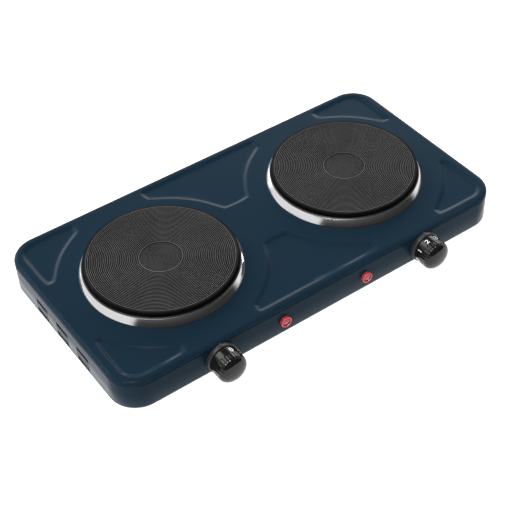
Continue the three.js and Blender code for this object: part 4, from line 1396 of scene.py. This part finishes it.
class COOKER_OT_fittings(bpy.types.Operator):
    """Build the rear cord bush and the rubber feet"""

    bl_idname = "cooker.fittings"
    bl_label = "Bush and feet"

    def execute(self, context):
        place = (0, REAR, CONTROL_Z)
        bush = turned_skin(gland_profile(), RUBBER_STEPS, place, "Y", closed=True)
        add_piece(make_mesh("cord_bush", bush), "rubber", COOKER, ["cord_gland"])
        for row in ("front", "rear"):
            for side in SIDES:
                node = f"foot_{row}_{side}"
                low, high = corners(node)
                centre = ((low[0] + high[0]) / 2, (low[1] + high[1]) / 2, 0)
                foot = turned_skin(foot_profile(), RUBBER_STEPS, centre, closed=True)
                add_piece(make_mesh(f"ribbed_{node}", foot), "rubber", COOKER, [node])
        return {"FINISHED"}


KEY_TOWARDS = (-0.366, -0.211, 0.906)
KEY_STRENGTH = 14.5

# Soft boxes: azimuth from +X, half the width, lowest and highest elevation, strength, and how
# far the edge fades, with every angle in degrees.
SOFT_BOXES = (
    (150.0, 50.0, -12.0, 42.0, 0.85, 2.0),
    (117.0, 18.0, 30.0, 58.0, 4.2, 4.0),
    (67.0, 40.0, -12.0, 36.0, 3.9, 8.0),
    (6.0, 24.0, -14.0, 26.0, 1.0, 7.0),
)
BACKDROP = 1.05


def studio_world():
    """The light from all round: a small key light high up in front on the left, soft boxes on
    the left, behind and on the right, a dim ceiling, and darkness in front. The camera sees a
    plain white backdrop instead."""
    world = bpy.data.worlds.new("studio")
    bpy.context.scene.world = world
    paint = Paint(world)
    ray = paint.node("ShaderNodeTexCoord", output="Generated")
    x, y, z = paint.parts(ray)
    level = (x * x + y * y) ** 0.5 + 0.0001

    def edge(value, angle, soft, shape):
        """0 to 1 as a value passes an angle's cosine or sine, over twice the soft angle."""
        ends = sorted((shape(radians(angle - soft)), shape(radians(angle + soft))))
        return value.within(*ends)

    key = x * KEY_TOWARDS[0] + y * KEY_TOWARDS[1] + z * KEY_TOWARDS[2]
    light = edge(key, 13.5, 1.5, cos) * KEY_STRENGTH
    for azimuth, half_width, low, high, strength, soft in SOFT_BOXES:
        towards = (x * cos(radians(azimuth)) + y * sin(radians(azimuth))) / level
        across = edge(towards, half_width, soft, cos)
        above = edge(z, low, soft, sin)
        below = 1.0 - edge(z, high, soft, sin)
        light = light + across * above * below * strength
    light = light + z.within(0.3, 0.9) * 0.06 + 0.035
    seen = paint.node("ShaderNodeLightPath", output="Is Camera Ray")
    strength = light * (1.0 - seen) + seen * BACKDROP
    values = {"Color": (1, 1, 1, 1), "Strength": strength}
    shader = paint.node("ShaderNodeBackground", values=values)
    paint.node_output("ShaderNodeOutputWorld", shader)


def area_light(name, place, target, size, power):
    """A soft rectangular lamp that faces a point."""
    data = bpy.data.lights.new(name, "AREA")
    data.shape = "RECTANGLE"
    data.size, data.size_y = size
    data.energy = power
    lamp = bpy.data.objects.new(name, data)
    back = np.array(place, float) - np.array(target, float)
    back /= np.linalg.norm(back)
    side = np.cross((0.0, 0.0, 1.0), back)
    side /= np.linalg.norm(side)
    axes = np.stack([side, np.cross(back, side), back], axis=1)
    lamp.matrix_world = Matrix.Translation(place) @ Matrix(axes.tolist()).to_4x4()
    bpy.context.scene.collection.objects.link(lamp)


def pale_floor(glow):
    """The floor that the cooker stands on."""
    paint = new_finish("pale_floor")
    cloud = paint.noise(paint.coordinates(), 3.0, 2.0)
    paint.surface(
        Base_Color=paint.blend(cloud, (0.49, 0.49, 0.49), (0.52, 0.52, 0.52)),
        Roughness=0.9,
        Specular_IOR_Level=0.1,
        Emission_Color=(1.0, 1.0, 1.0),
        Emission_Strength=glow,
    )
    row, column = np.meshgrid(np.linspace(-1, 1, 9), np.linspace(-1, 1, 9), indexing="ij")
    points = np.stack([column * 900, row * 680 + 280, 0 * row], axis=-1)
    mesh = make_mesh("floor", Skin().grid(points), closed=False)
    mesh.materials.append(finish("pale_floor"))
    floor = bpy.data.objects.new("floor", mesh)
    bpy.context.scene.collection.objects.link(floor)


def studio_camera(studio):
    """A camera that looks at the aim from the settings' direction and distance."""
    azimuth, elevation, roll = studio.azimuth, studio.elevation, studio.roll
    back = np.array([
        sin(azimuth) * cos(elevation), -cos(azimuth) * cos(elevation), sin(elevation),
    ])
    level = np.array([cos(azimuth), sin(azimuth), 0.0])
    above = np.cross(back, level)
    side = level * cos(roll) + above * sin(roll)
    head = above * cos(roll) - level * sin(roll)
    data = bpy.data.cameras.new("camera")
    data.lens = studio.lens
    data.sensor_width = 36.0
    data.clip_start, data.clip_end = 0.01, 50.0
    camera = bpy.data.objects.new("camera", data)
    place = np.array(studio.aim) + back * studio.distance
    turn = Matrix(np.stack([side, head, back], axis=1).tolist()).to_4x4()
    camera.matrix_world = Matrix.Translation(place.tolist()) @ turn
    bpy.context.scene.collection.objects.link(camera)
    bpy.context.scene.camera = camera


class COOKER_OT_studio(bpy.types.Operator):
    """Set up the pale floor, the soft light and the camera"""

    bl_idname = "cooker.studio"
    bl_label = "Studio"

    def execute(self, context):
        studio = context.scene.cooker_studio
        pale_floor(studio.floor_glow)
        studio_world()
        place, target = (0.661, -0.387, 0.745), (0.17, -0.105, 0.046)
        area_light("edge_strip", place, target, (0.14, 0.14), 0.9)
        studio_camera(studio)
        context.scene.view_settings.view_transform = "Standard"
        return {"FINISHED"}


class COOKER_PT_panel(bpy.types.Panel):
    """Lists the cooker's settings and its building steps"""

    bl_idname = "COOKER_PT_panel"
    bl_label = "Table Cooker"
    bl_space_type = "VIEW_3D"
    bl_region_type = "UI"
    bl_category = "Cooker"

    def draw(self, context):
        for key in GROUPS:
            group = getattr(context.scene, key)
            box = self.layout.box()
            for name in group.__annotations__:
                box.prop(group, name)
        for step in STEPS:
            self.layout.operator(step.bl_idname)


STEPS = (
    COOKER_OT_studio,
    COOKER_OT_finishes,
    COOKER_OT_housing,
    COOKER_OT_base,
    COOKER_OT_hotplates,
    COOKER_OT_rings,
    COOKER_OT_controls,
    COOKER_OT_lamps,
    COOKER_OT_fittings,
)
GROUPS = {
    "cooker_sizes": CookerSizes,
    "cooker_colours": CookerColours,
    "cooker_studio": CookerStudio,
}


def register():
    for kind in (*GROUPS.values(), *STEPS, COOKER_PT_panel):
        bpy.utils.register_class(kind)
    for name, kind in GROUPS.items():
        setattr(bpy.types.Scene, name, bpy.props.PointerProperty(type=kind))


def unregister():
    for name in GROUPS:
        delattr(bpy.types.Scene, name)
    for kind in reversed((*GROUPS.values(), *STEPS, COOKER_PT_panel)):
        bpy.utils.unregister_class(kind)


def main():
    """Builds the whole cooker and its studio."""
    register()
    for step in STEPS:
        group, name = step.bl_idname.split(".")
        getattr(getattr(bpy.ops, group), name)()


if __name__ == "__main__":
    main()
